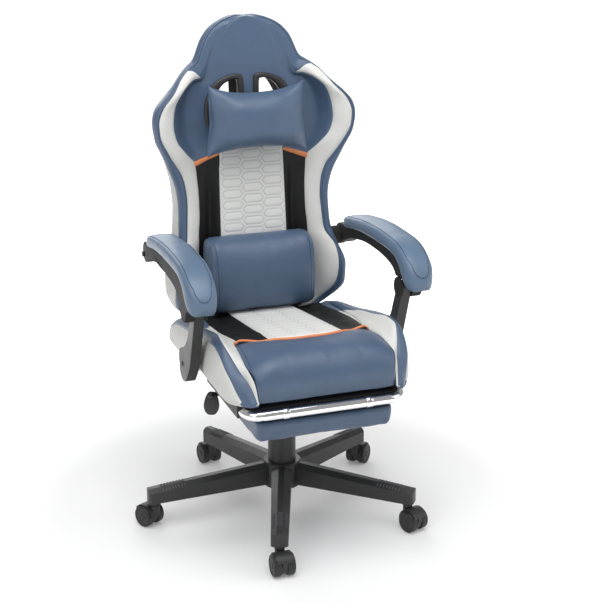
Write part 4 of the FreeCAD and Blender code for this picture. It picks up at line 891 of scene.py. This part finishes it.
def seat_cover():
    """The seat as one sewn cover, its sides drawn in to meet the bolsters."""
    half = np.concatenate([np.arange(0, 84, 7.0),
                           (86, 91, 94, 99, 106, 113, 120, 128, 136, 143, 147, STRIPE_X, 154, 162, 170,
                            177, 183, 187, SEAT_SIDE)])
    stations = np.concatenate([-half[:0:-1], half])
    rows, owners = [], None
    for x in stations:
        points, owners = seat_row(x)
        y = points[:, 0]
        on_top = (owners == 2) & (points[:, 1] > 470)
        bend = np.where(on_top, np.interp(abs(x), (0, 94, 147, STRIPE_X, SEAT_SIDE), (0, 0, 1, 1, 0)), 0)
        shift = bend * (seat_stripe(y) - STRIPE_X)
        near_side = np.clip((abs(x) - BEND_X) / (SEAT_SIDE - BEND_X), 0, 1)
        shift = shift - near_side * (SEAT_SIDE - seat_side(y))
        valley = np.where(on_top, 5.0 * hump(abs(x), 112, 26), 0)
        z = points[:, 1] - valley
        rows.append(np.column_stack([np.full(len(y), x) + np.sign(x) * shift, y, z]))
    grid = np.array(rows)
    for edge in (0, -1):
        middle = grid[edge].mean(0)
        grid[edge, :, 1:] = middle[1:] + (grid[edge, :, 1:] - middle[1:]) * 0.98
    blue, black, white = range(3)            # in the order of the cover's finishes

    def pick(row, column):
        x = abs(0.5 * (stations[row] + stations[min(row + 1, len(stations) - 1)]))
        if owners[column] == 2 and grid[row, column, 2] > 474:
            return black if x < STRIPE_X else white if grid[row, column, 1] < 40 else blue
        return blue
    piece = rings("seat_cover", grid, [blue_cloth, black_cloth, white_cloth], pick)
    held = np.tile(np.maximum(seams_of(owners), (owners != 1) * 0.85), (len(stations), 1))
    held[[0, -1]] = 1
    puffed(piece, 4.0, 9.0, with_poles(held))
    rumpled(subdivided(piece), 60.0, 1.2)
    return belongs(piece, "seat", "fabric_blue", "seat_cushion")


def seat_surface(u, v):
    """Top of the seat at the middle panel; u across, v towards the back."""
    return stacked(u, v, seat_top(u, v) + 0.0 * u)


def upwards(u, v):
    return stacked(0 * u, 0.14, 0.99)


def seat_panel():
    piece = quilted("seat_quilted_panel", seat_surface, upwards, seat_panel_half, -194.0, 176.0, quilt_cloth_painted_light_shade)
    return belongs(piece, "seat", "fabric_white")


def seat_piping(cover):
    """Orange band between the front roll and the sitting part."""
    x = np.linspace(-172, 172, 110)
    points, normals = cover.line(np.column_stack([x, seat_band_y(x), 0 * x + 700]), DOWN, 2.6)
    piece = band("seat_piping", evened(points), normals, orange_cloth, 8.0, 6.0)
    return belongs(piece, "seat", "fabric_blue")


# ---- bolsters ---------------------------------------------------------------------------------

BOLSTER_NOSE = -341.0
bolster_low = follow((-341, 443), (-330, 440), (-300, 436), (-272, 431.5), (-46, 431.5), (0, 414),
                     (129, 407), (238, 408))
seam_x = follow((-341, 171), (-327, 173), (-301, 182), (-246, 179), (-142, 171), (-60, 183), (0, 190),
                (238, 190.3))
seam_z = follow((-341, 448), (-335, 463), (-327, 484), (-312, 508), (-295, 519), (-246, 522), (-142, 526),
                (-46, 517), (0, 510), (60, 503), (129, 496), (191, 485), (238, 468))
crest_x = follow((-341, 174), (-318, 183), (-275, 198), (-248, 209), (-212, 218), (-130, 209), (-92, 205),
                 (0, 205), (238, 203))
crest_z = follow((-341, 450), (-318, 482), (-275, 513), (-248, 538), (-212, 562), (-170, 564), (-130, 556),
                 (-92, 547), (-46, 538), (0, 527), (60, 515), (129, 505), (200, 486), (238, 464))
edge_x = follow((-341, 190), (-320, 203), (-305, 212), (-285, 223), (-258, 231), (-212, 233), (238, 226))
edge_z = follow((-341, 444), (-320, 446), (-305, 462), (-285, 494), (-258, 519), (-230, 536), (-190, 545),
                (-132, 540), (-60, 524), (21, 506), (80, 496), (140, 487), (200, 469), (238, 448))


def bolster_row(y):
    """Upright section of a bolster: underside, inner wall and white band, blue crest, outer side."""
    low, rise = bolster_low(y), 5.0 * hump(y, -60, 240)
    seam, crest, edge = (seam_x(y), seam_z(y)), (crest_x(y), crest_z(y)), (edge_x(y), edge_z(y))
    middle = (0.5 * (crest[0] + edge[0]) + 1, 0.5 * (crest[1] + edge[1]) + 3 + rise)
    white = (0.5 * (seam[0] + crest[0]), 0.5 * (seam[1] + crest[1]) + 1.5)
    foot = (0.5 * (seam[0] + edge[0]), low)
    keys = [foot, (seam[0] + 3, low), (seam[0], low + 3), seam, white, crest, middle, edge,
            (edge[0] + 1, 0.5 * (edge[1] + low)), (edge[0] - 3, low + 3), (edge[0] - 8, low), foot]
    spans = [(3, 8, 0.0), (5, 8, 1.5), (7, 8, 2.0), (11, 14, 2.5)]
    return padded_run(keys, spans, -1.0, 1.8 * np.clip((y - BOLSTER_NOSE) / 30, 0, 1))


def seat_bolster(side):
    """Raised side cushion of the seat: white outside and along the seam, blue over its crest."""
    stations = np.concatenate([(BOLSTER_NOSE, -340, -337, -333, -328, -322, -315, -308, -300, -292, -284),
                               np.arange(-276, 232, 9.0), (234, 238)])
    rows, owners = [], None
    for y in stations:
        points, owners = bolster_row(y)
        rows.append(np.column_stack([points[:, 0] * side, np.full(len(points), y), points[:, 1]]))
    grid = np.array(rows)
    wall = np.flatnonzero(owners == 1)
    blue, white = range(2)                   # in the order of the cover's finishes

    def pick(row, column):
        y, span = stations[row], owners[column]
        up = np.clip((column - wall[0]) / len(wall), 0, 1)
        rear_end = y > 62 - 90 * up and span in (0, 1)
        nose_end = y < -318 and span in (0, 3)
        return blue if rear_end or nose_end or span == 2 else white
    piece = rings("seat_bolster_cover_" + hand(side), grid, [blue_cloth, white_cloth], pick)
    held = np.tile(np.maximum(seams_of(owners), np.isin(owners, (0, 1)) * 0.9), len(stations))
    puffed(piece, 3.0, 4.0, with_poles(held))
    rumpled(subdivided(piece), 40.0, 0.8)
    return belongs(piece, "seat", "fabric_blue", "seat_bolster_" + hand(side))


# ---- pillows ----------------------------------------------------------------------------------

PILLOW_Z, PILLOW_Y, PILLOW_FRONT, PILLOW_REAR = 998.0, 183.0, 134.0, 229.0
PILLOW_ACROSS, PILLOW_UP, PILLOW_HELD = 60, 30, 0.5


def edge_crowded(count):
    """Steps from -1 to 1, closer together towards both ends."""
    return np.sin(np.linspace(-1, 1, count) * math.pi / 2)


def neck_pillow():
    """Neck pillow: two faces sewn together round their edges, with pointed corners and drawn-in sides."""
    rows = []
    for u in edge_crowded(PILLOW_ACROSS):
        v = edge_crowded(PILLOW_UP)
        half = np.interp(v, (-1, 1), (137, 129)) - 17 * (1 - v * v) ** 0.8 - 4 * np.abs(u * v) ** 12
        drawn = 1 - abs(u) ** 2.6
        high, low = 1090 - 25 * drawn, 909 + 20 * drawn
        z = 0.5 * (high + low) + 0.5 * (high - low) * v
        plump = ((1 - abs(u) ** 3.2) * (1 - np.abs(v) ** 3.2)) ** 0.62
        gather = 1.6 * np.sin(9 * v + 2) * hump(abs(u), 0.86, 0.3)
        gather = gather + 1.2 * np.sin(13 * u) * hump(np.abs(v), 0.9, 0.25)
        lean = BACK_LEAN * (z - PILLOW_Z) * 0.6
        front = PILLOW_Y + lean - 1.5 - (PILLOW_Y - PILLOW_FRONT + 1) * plump + gather
        rear = PILLOW_Y + lean + 1.5 + (PILLOW_REAR - PILLOW_Y - 3) * plump ** 0.8
        face = np.column_stack([u * half, front, z])
        other = np.column_stack([u * half, rear, z])
        rows.append(np.vstack([face, other[::-1][1:-1]]))
    grid = np.array(rows)
    piece = rings("neck_pillow_cover", grid, [blue_cloth])
    held = np.zeros(grid.shape[:2])
    held[:, [0, PILLOW_UP - 1]] = PILLOW_HELD
    puffed(piece, 5.0, 7.0, with_poles(held, PILLOW_HELD), stiffness=8.0)
    rumpled(subdivided(piece), 50.0, 1.8)
    return belongs(piece, "headrest", "fabric_blue", "headrest_pillow")


def lumbar_pillow():
    """Lumbar roll: a plump bar across the back with flat sewn ends."""
    low, high, front, half = 507.0, 695.0, 119.0, 141.0
    end_seam = half - 11

    def row(x, inset):
        bottom, top, face = low + inset, high - inset, front + inset
        rear_low, rear_high = back_front(bottom) - 3 - 0.4 * inset, back_front(top) - 3 - 0.4 * inset
        keys = [(rear_low, bottom + 30), (rear_low - 1, bottom + 10), (rear_low - 12, bottom),
                (face + 34, bottom - 1), (face + 7, bottom + 16), (face, bottom + 52),
                (face + 1, bottom + 98), (face + 5, top - 62), (face + 15, top - 27), (face + 32, top - 6),
                (face + 56, top), (rear_high - 10, top), (rear_high - 1, top - 8), (rear_high, top - 40),
                (rear_low, bottom + 30)]
        points = padded_run(keys, [(1, 3, 0), (12, 44, 0), (14, 8, 0)], 1.0, 0.0)[0]
        return np.column_stack([np.full(len(points), x), points])
    ends = ((half, 16), (half - 1.5, 10), (half - 5, 4.5), (half - 9, 2.0), (end_seam, 4.5), (half - 13, 1.0))
    half_rows = [(x, inset) for x, inset in ends] + [(x, 0.0) for x in np.arange(118, -1, -8.0)]
    stations = [(-x, inset) for x, inset in half_rows] + half_rows[::-1][1:]
    grid = np.array([row(*station) for station in stations])
    piece = rings("lumbar_pillow_cover", grid, [blue_cloth])
    rear = grid[..., 1] > back_front(grid[..., 2]) - 6
    held = np.maximum(rear, (np.abs(grid[..., 0]) == end_seam) * 0.9)
    puffed(piece, 4.0, 6.0, with_poles(held, 0.0))
    rumpled(subdivided(piece), 55.0, 1.5)
    return belongs(piece, "lumbar", "fabric_blue", "lumbar_cushion")


# ---- footrest pad and arm pads ----------------------------------------------------------------

def foot_pad_cover():
    """Foot pad: a thin upholstered board, flat on top, drawn a little past its solid in front and below."""
    low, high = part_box("footrest_pad")
    (_, front, bottom), (right, rear, top) = np.array(low) / MM, np.array(high) / MM
    front, bottom, right = front - 8, bottom - 9, right + 4

    def row(x, inset):
        f, r, b, t = front + inset, rear - inset, bottom + inset, top - 0.3 * inset
        middle = (f + r) / 2
        keys = [(middle, t), (f + 10, t), (f + 2, t - 4), (f, t - 12), (f + 1, b + 18), (f + 7, b + 6),
                (f + 24, b + 1), (middle, b), (r - 24, b + 1), (r - 7, b + 6), (r - 1, b + 18), (r, t - 12),
                (r - 2, t - 4), (r - 10, t), (middle, t)]
        points = padded_run(keys, [(2, 8, 0), (4, 7, 1.0), (11, 26, 1.0), (14, 9, 0)], 1.0, 0.8)[0]
        return np.column_stack([np.full(len(points), x), points])
    ends = ((right, 15), (right - 1.5, 9), (right - 4.5, 4), (right - 8, 2.4), (right - 11, 0.4))
    half_rows = list(ends) + [(x, 0.0) for x in np.arange(right - 18, -1, -9.0)]
    stations = [(-x, inset) for x, inset in half_rows] + half_rows[::-1]
    grid = np.array([row(*station) for station in stations])
    piece = rings("foot_pad_cover", grid, [blue_cloth])
    puffed(piece, 3.0, 4.0, with_poles(grid[..., 2] > top - 6))
    rumpled(subdivided(piece), 50.0, 1.0)
    return belongs(piece, "foot_pad", "fabric_blue", "footrest_pad")


PAD_HALF, PAD_NOSE, PAD_TAIL = 37.5, -253.0, 203.0
PAD_BACK = 6.0             # how far the pad as a whole sits behind the curves below
pad_under = follow((PAD_NOSE, 672), (-244, 652), (-220, 656), (-200, 677), (-180, 698), (-150, 711),
                   (-110, 716), (-40, 717), (45, 714), (120, 706), (190, 694), (PAD_TAIL, 697))
pad_over = follow((PAD_NOSE, 680), (-249, 692), (-240, 704), (-222, 721), (-200, 733), (-170, 742),
                  (-120, 748), (-40, 750), (50, 745), (120, 736), (170, 727), (194, 718), (PAD_TAIL, 703))


def arm_pad_cover(side):
    """Armrest pad: a long cushion with a drooping nose, held flat along its underside."""
    low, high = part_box("arm_pad_" + hand(side))
    centre = (low[0] + high[0]) / 2 / MM
    stations = np.concatenate([(-252.5, -251, -248, -243, -236, -228), np.arange(-220, 170, 9.0),
                               (175, 183, 190, 196, 200, PAD_TAIL)])
    rows = []
    for y in stations:
        under, over = pad_under(y), pad_over(y)
        nose, tail = np.clip((y - PAD_NOSE) / 40, 0, 1), np.clip((PAD_TAIL - y) / 34, 0, 1)
        half = PAD_HALF * min(math.sqrt(1 - (1 - nose) ** 2), math.sqrt(1 - (1 - tail) ** 2)) ** 0.9
        half = max(half, 7.0) - 3.0 * np.clip(y / 190, 0, 1)
        thick = over - under
        seam = 0.62 if y < 190 else 0.5
        keys = [(0, under), (half * 0.8, under), (half - 2, under + 0.14 * thick),
                (half, under + 0.4 * thick), (half - 0.4, under + seam * thick),
                (half - 3, over - 0.2 * thick), (half * 0.8, over - 0.06 * thick), (half * 0.42, over),
                (0, over + 1)]
        points, owners = padded_run(keys, [(4, 10, 0.4), (6, 5, 0.6), (8, 8, 0.8)], 1.0, (0.9, 0.5))
        full = whole_section(points, owners, (0, under), (0, over + 1.5))[0]
        full[:, 1] -= 8 * np.clip((-150 - y) / 90, 0, 1)
        inward = (9 + 3 * np.clip(y / 190, -1, 1)) * np.sign(centre)
        x = centre - inward + full[:, 0]
        rows.append(np.column_stack([x, np.full(len(full), y - PAD_BACK), full[:, 1]]))
    grid = np.array(rows)
    # The pad cover takes the lighter blue: painted highlight.
    piece = rings("arm_pad_cover_" + hand(side), grid, [pad_cloth_painted_highlight])
    puffed(piece, 3.0, 2.5, with_poles(grid[..., 2] < pad_under(grid[..., 1] + PAD_BACK) + 3))
    rumpled(subdivided(piece), 40.0, 0.6)
    return belongs(piece, "arm_" + hand(side), "fabric_blue", "arm_pad_" + hand(side))


# ---- moulded arm brackets ---------------------------------------------------------------------

REAR_PIVOT, FRONT_PIVOT = (244.0, 655.0), (-165.0, 632.0)      # each as (y, z)
SHELL_NEAR, SHELL_FAR = 254.0, 300.0                            # faces of the moulding, before its taper
LINK_NEAR, LINK_FAR = 249.7, 275.3                              # slot that clears the link
FORK = ((-235, 570), (-122, 570), (-122, 652), (-235, 652))
SMOOTH_BELOW = math.radians(14)
bracket_under = follow((-140, 622), (-134, 640), (-122, 656), (-100, 668), (-60, 676), (0, 680), (60, 680),
                       (120, 674), (170, 663), (205, 648), (226, 637))


def turned_disc(name, x0, x1, centre, radius, finish, bevel=2.0):
    """Round boss along x with softened rims."""
    angles = np.linspace(0, 2 * math.pi, 40, endpoint=False)
    rim = ((x0, bevel), (x0 + 0.3 * bevel, 0.3 * bevel), (x0 + bevel, 0.0),
           (x1 - bevel, 0.0), (x1 - 0.3 * bevel, 0.3 * bevel), (x1, bevel))
    rows = [np.column_stack([np.full(40, x), centre[0] + (radius - inset) * np.cos(angles),
                             centre[1] + (radius - inset) * np.sin(angles)]) for x, inset in rim]
    return rings(name, np.array(rows), [finish])


def bracket_profile():
    """Outline of the arch: under the pad, round the rear boss, along the underside, round the front boss."""
    upper = [(y, pad_under(y + PAD_BACK) + 0.4 - 8 * np.clip((-156 - y) / 90, 0, 1))
             for y in np.linspace(-222, 190, 44)]
    turn = np.linspace(math.radians(75), math.radians(-105), 14)
    rear = [(REAR_PIVOT[0] - 4 + 24 * math.cos(a), REAR_PIVOT[1] + 6 + 27 * math.sin(a)) for a in turn]
    under = [(y, bracket_under(y)) for y in np.linspace(222, -140, 34)]
    turn = np.linspace(math.radians(-25), math.radians(-185), 14)
    front = [(FRONT_PIVOT[0] + 26 * math.cos(a), FRONT_PIVOT[1] + 26 * math.sin(a)) for a in turn]
    return upper + rear + under + front


def arm_bracket_shell(side):
    """Arch under the pad: rounded moulding, rear boss towards the back, fork over the link in front."""
    name = "arm_bracket_shell_" + hand(side)
    shell = prism(name, bracket_profile(), SHELL_NEAR, SHELL_FAR, 0, moulded_matt)
    bevel = shell.modifiers.new("edge", "BEVEL")
    bevel.width, bevel.segments, bevel.limit_method = 5 * MM, 3, "ANGLE"
    bevel.angle_limit = math.radians(50)
    settled(shell)
    points = positions(shell)
    x, y = points[:, 0] / MM, points[:, 1] / MM
    outward = np.clip((x - SHELL_NEAR) / (SHELL_FAR - SHELL_NEAR), 0, 1)
    taper = 6 * MM * np.clip((y - 120) / 120, 0, 1) ** 1.5 * outward
    points[:, 0] -= taper + 8 * MM * np.clip((y - 40) / 160, 0, 1)
    place(shell, points)
    carved(shell, prism("fork_cutter", FORK, LINK_NEAR, LINK_FAR, 0, moulded_matt, smooth=False))
    hub = turned_disc("hub", 226.5, 262, REAR_PIVOT, 24.5, moulded_matt)
    cheek = turned_disc("cheek", 244.7, 249.6, FRONT_PIVOT, 26, moulded_matt, 1.0)
    web = turned_disc("web", 275.4, 297, FRONT_PIVOT, 25.4, moulded_matt, 3.0)
    piece = merged(name, [shell, hub, cheek, web])
    if side < 0:
        place(piece, positions(piece) * (-1, 1, 1))
        piece.data.flip_normals()
    for face in piece.data.polygons:
        face.use_smooth = True
    piece.data.set_sharp_from_angle(angle=SMOOTH_BELOW)
    return belongs(piece, "arm_" + hand(side), "nylon_black", "arm_bracket_" + hand(side),
                   "arm_pin_" + hand(side))


# ---- footrest frame and star base details -----------------------------------------------------

BAR_Y, BAR_Z, BAR_RADIUS = -332.0, 415.0, 12.5
TRIM_HALF, COLLAR_X = 172.0, 104.0


def facing_up(count):
    """Normals of a level line."""
    return np.tile((0.0, 0.0, 1.0), (count, 1))


def crosswise(name, left, right, y, z, finish, width, thick, count):
    """Flat bar with rounded sides, from left to right."""
    line = np.column_stack([np.linspace(left, right, count), np.full(count, y), np.full(count, z)])
    return band(name, line, facing_up(count), finish, width, thick)


def footrest_hinge_board():
    """Thin black board on the pad, hung from the bar by slim bright collars."""
    (left, _, low), (right, rear, _) = (np.array(corner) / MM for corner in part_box("footrest_board"))
    parts = [crosswise("board", left + 4, right - 4, (BAR_Y + rear) / 2, low + 3.0, board,
                       rear - BAR_Y - 12, 6.0, 24)]
    for x in (-COLLAR_X, COLLAR_X):
        parts.append(turned_disc("collar", x - 8, x + 8, (BAR_Y, BAR_Z), BAR_RADIUS + 1.3, chrome, 0.8))
    return belongs(merged("footrest_hinge_board", parts), "foot_pad", "board_black", "footrest_board")


def footrest_trim():
    """Slim second bar behind the front bar, with a dark strip between them: painted shadow of the gap."""
    end = [(TRIM_HALF + 12 - 12 * math.cos(a), BAR_Y + 13 + 12 * math.sin(a), BAR_Z + 6)
           for a in np.linspace(0, 1.5, 6)]
    line = [(-x, y, z) for x, y, z in end] + end[::-1]
    bar = ribbed("rear_bar", [sorted(line)], chrome, 2.6)
    # Painted shadow: a dark strip fills the gap between the bars.
    strip = crosswise("shadow_strip", -TRIM_HALF - 13, TRIM_HALF + 13, BAR_Y + 14, BAR_Z - 3, footrest_gap_painted_shadow,
                      24.0, 7.0, 12)
    return belongs(merged("footrest_trim", [bar, strip]), "footrest", "chrome")


def seat_front_rail():
    """Black board edge that closes the underside of the seat in front of its frame."""
    rail = crosswise("seat_front_rail", -183, 183, -290.0, 424.0, board, 62.0, 18.0, 20)
    return belongs(rail, "seat", "board_black")


BLADE_TOP, BLADE_FOOT = np.array((-200.0, -53.0, 376.0)), np.array((-206.0, -63.0, 318.0))
BLADE_ACROSS, BLADE_THROUGH = np.array((0.906, -0.423, 0.0)), np.array((0.39, 0.84, -0.33))


def lever_blade():
    """Upright rounded blade on the end of the height lever, with a short neck to the rod."""
    turn = np.linspace(0, 2 * math.pi, 28, endpoint=False)[:, None]
    grid = []
    for share, half, thick in ((0.0, 5, 2.0), (0.03, 9, 3.6), (0.12, 13, 4.6), (0.3, 17, 5.0), (0.5, 20, 5.0),
                               (0.7, 20, 4.8), (0.86, 16, 4.4), (0.96, 11, 3.4), (1.0, 6, 1.8)):
        centre = BLADE_TOP + (BLADE_FOOT - BLADE_TOP) * share
        grid.append(centre + BLADE_ACROSS * half * np.cos(turn) + BLADE_THROUGH * thick * np.sin(turn))
    blade = subdivided(rings("blade", np.array(grid), [moulded_black]))
    neck_line = np.linspace((-182.0, -48.0, 367.0), (-209.0, -64.0, 367.0), 8)
    neck = band("neck", neck_line, facing_up(8), moulded_black, np.linspace(14, 19, 8), 12.0, 16)
    return belongs(merged("lever_blade", [blade, neck]), "lever", "nylon_black", "lever_paddle")


CHEVRON = (((-6, 0), (0, 5), (6, 0)), ((-19, 0), (-13, 0)), ((13, 0), (19, 0)))    # (across, forward)
BASE_ARMS, BASE_TURN = 5, -110


def base_grips():
    """Chevron ribs near the tip of each arm of the star base, in the lighter grey: painted highlight for
    their glints.
    """
    top = BVHTree.FromObject(nodes["star_base"], bpy.context.evaluated_depsgraph_get())

    def on_arm(radius, across, angle):
        x = radius * math.cos(angle) - across * math.sin(angle)
        y = radius * math.sin(angle) + across * math.cos(angle)
        hit = top.ray_cast(Vector((x, y, 400)) * MM, Vector((0, 0, -1)))[0]
        return hit / MM + Vector((0, 0, 0.3)) if hit else None
    lines = []
    for number in range(BASE_ARMS):
        angle = math.radians(BASE_TURN + 360 / BASE_ARMS * number)
        for radius in np.arange(262, 326, 8.0):
            for reach in CHEVRON:
                points = [on_arm(radius + forward, across, angle) for across, forward in reach]
                if all(points):
                    lines.append(points)
    # The ribs take the lighter grey: painted highlight for the glints on the raised ribs.
    return belongs(ribbed("base_grips", lines, moulded_grey, 1.5), "base", "nylon_black")


# ---- stitching --------------------------------------------------------------------------------

def stitches_on(name, cover, runs, finish, body):
    """Rows of stitches, each over a dark strip of painted groove shade; each run is its starts and the way to
    look for the cover.
    """
    rows = []
    for starts, way in runs:
        points, normals = cover.line(starts, way, 0.25)
        if len(points) > 8:
            line = evened(points, 2)
            # Painted shade: a dark strip along the seam groove under the stitches.
            rows.append(band("groove", line, normals, groove_shade_band, 1.8, 0.7, 8))
            rows.append(stitched("row", line + normals * 0.3, finish))
    return belongs(merged(name, rows), body, "fabric_blue")


def back_stitches(cover):
    z = np.arange(520, 1050, 3.0)
    stitches_on("back_stitches", cover, [
        (np.column_stack([side * (outer_seam(z) + 5), 0 * z, z]), TOWARDS_BACK) for side in (1, -1)],
        blue_thread, "back")


def seat_stitches(cover):
    y = np.arange(-150, -334, -3.0)
    stitches_on("seat_stitches", cover, [
        (np.column_stack([side * (seat_side(y) - 6), y - 40, 0 * y + 640]), (0, 0.25, -1))
        for side in (1, -1)], blue_thread, "seat")


def arm_pad_stitches(cover, side):
    """Two seams along the top of a pad and one round its nose."""
    y = np.arange(-236, 192, 3.0)
    middle = (268.0 - 3 * np.clip(y / 190, -1, 1)) * side
    nose, tail = np.clip((-210 - y) / 40, 0, 1), np.clip((y - 172) / 30, 0, 0.95)
    narrowed = np.sqrt(1 - nose ** 2) * np.sqrt(1 - tail ** 2)
    runs = [(np.column_stack([middle + edge * narrowed, y, 0 * y + 900]), DOWN) for edge in (-26.5, 26.5)]
    turn = np.linspace(0, math.pi, 40)
    round_nose = np.column_stack([271.0 * side + 20.5 * np.cos(turn), 0 * turn - 500,
                                  706 - 26 * np.sin(turn)])
    stitches_on("arm_pad_stitches_" + hand(side), cover, runs + [(round_nose, TOWARDS_BACK)],
                blue_thread, "arm_" + hand(side))


def lumbar_stitches(cover):
    z = np.arange(512, 694, 3.0)
    stitches_on("lumbar_stitches", cover, [
        (np.column_stack([0 * z + x, 0 * z, z]), TOWARDS_BACK) for x in (-125, 125)], blue_thread, "lumbar")


# ---- scene ------------------------------------------------------------------------------------

def sheet_of(name, half, finish):
    """Square level sheet of the studio, not part of the chair."""
    corners = [(-half, -half, 0), (half, -half, 0), (half, half, 0), (-half, half, 0)]
    piece = made(name, corners, [(0, 1, 2, 3)], [finish], smooth=False)
    return piece


CENTRE = Vector((0, 0, 0.65))
LAMPS = (("top", (-0.3, -0.9, 3.4), 2.4, 66), ("key", (-2.6, -2.2, 2.6), 2.0, 26),      # place, size, power
         ("fill", (2.8, -1.6, 2.2), 2.4, 22), ("rim", (0.4, 3.4, 2.1), 2.6, 46))
CAMERA_PLACE, CAMERA_WAY, CAMERA_LENS = (-1.1995, -3.4934, 1.8237), (0.320144, 0.891128, -0.321555), 92.9


def studio():
    """White floor that keeps the shadow near the object and turns into the white backdrop further out."""
    finish = Finish("studio_floor", Roughness=0.9, Specular_IOR_Level=0.0, Emission_Color=(1, 1, 1, 1))
    finish.shader.inputs["Base Color"].default_value = (0.85, 0.85, 0.85, 1)
    path = finish.node("LightPath")
    seen = finish.node("Math", (0, path.outputs["Is Camera Ray"]), (1, path.outputs["Is Glossy Ray"]),
                       operation="MAXIMUM")
    away = finish.node("VectorMath", (0, finish.place), operation="LENGTH")
    fade = finish.node("MapRange", ("Value", away.outputs["Value"]), From_Min=0.6, From_Max=1.5, To_Min=0.16,
                       To_Max=1.0)
    glow = finish.node("Math", (0, seen.outputs[0]), (1, fade.outputs[0]), operation="MULTIPLY")
    finish.feed("Emission Strength", glow.outputs[0])
    sheet_of("studio_floor", 30.0, finish.material)
    world = bpy.data.worlds.new("studio")
    bpy.context.scene.world = world
    world.use_nodes = True
    tree = world.node_tree
    sky = tree.nodes["Background"].inputs
    sky["Color"].default_value = (1, 1, 1, 1)
    rays = add_node(tree, "ShaderNodeLightPath")
    level = add_node(tree, "ShaderNodeMix", (0, rays.outputs["Is Camera Ray"]), data_type="FLOAT")
    level.inputs[2].default_value, level.inputs[3].default_value = 0.35, 1.0
    tree.links.new(level.outputs[0], sky["Strength"])
    for name, spot, size, power in LAMPS:
        lamp = bpy.data.lights.new(name, "AREA")
        lamp.size, lamp.energy = size, power
        holder = linked(name, lamp)
        holder.location = spot
        holder.rotation_euler = (CENTRE - Vector(spot)).to_track_quat("-Z", "Y").to_euler()


def camera():
    """The camera, aimed along its given way, and the plain view transform."""
    view = bpy.data.cameras.new("camera")
    view.lens, view.sensor_width = CAMERA_LENS, 36.0
    holder = linked("camera", view)
    holder.location = CAMERA_PLACE
    holder.rotation_euler = Vector(CAMERA_WAY).to_track_quat("-Z", "Y").to_euler()
    bpy.context.scene.camera = holder
    bpy.context.scene.view_settings.view_transform = "Standard"


dress_nodes()
on_back = Laid(back_cover())
back_panel()
back_piping(on_back)
on_seat = Laid(seat_cover())
seat_panel()
seat_piping(on_seat)
back_stitches(on_back)
seat_stitches(on_seat)
for side in (1, -1):
    seat_bolster(side)
    slot_bezel(side)
    arm_bracket_shell(side)
    arm_pad_stitches(Laid(arm_pad_cover(side)), side)
neck_pillow()
lumbar_stitches(Laid(lumbar_pillow()))
foot_pad_cover()
footrest_hinge_board()
footrest_trim()
seat_front_rail()
base_grips()
lever_blade()
studio()
camera()
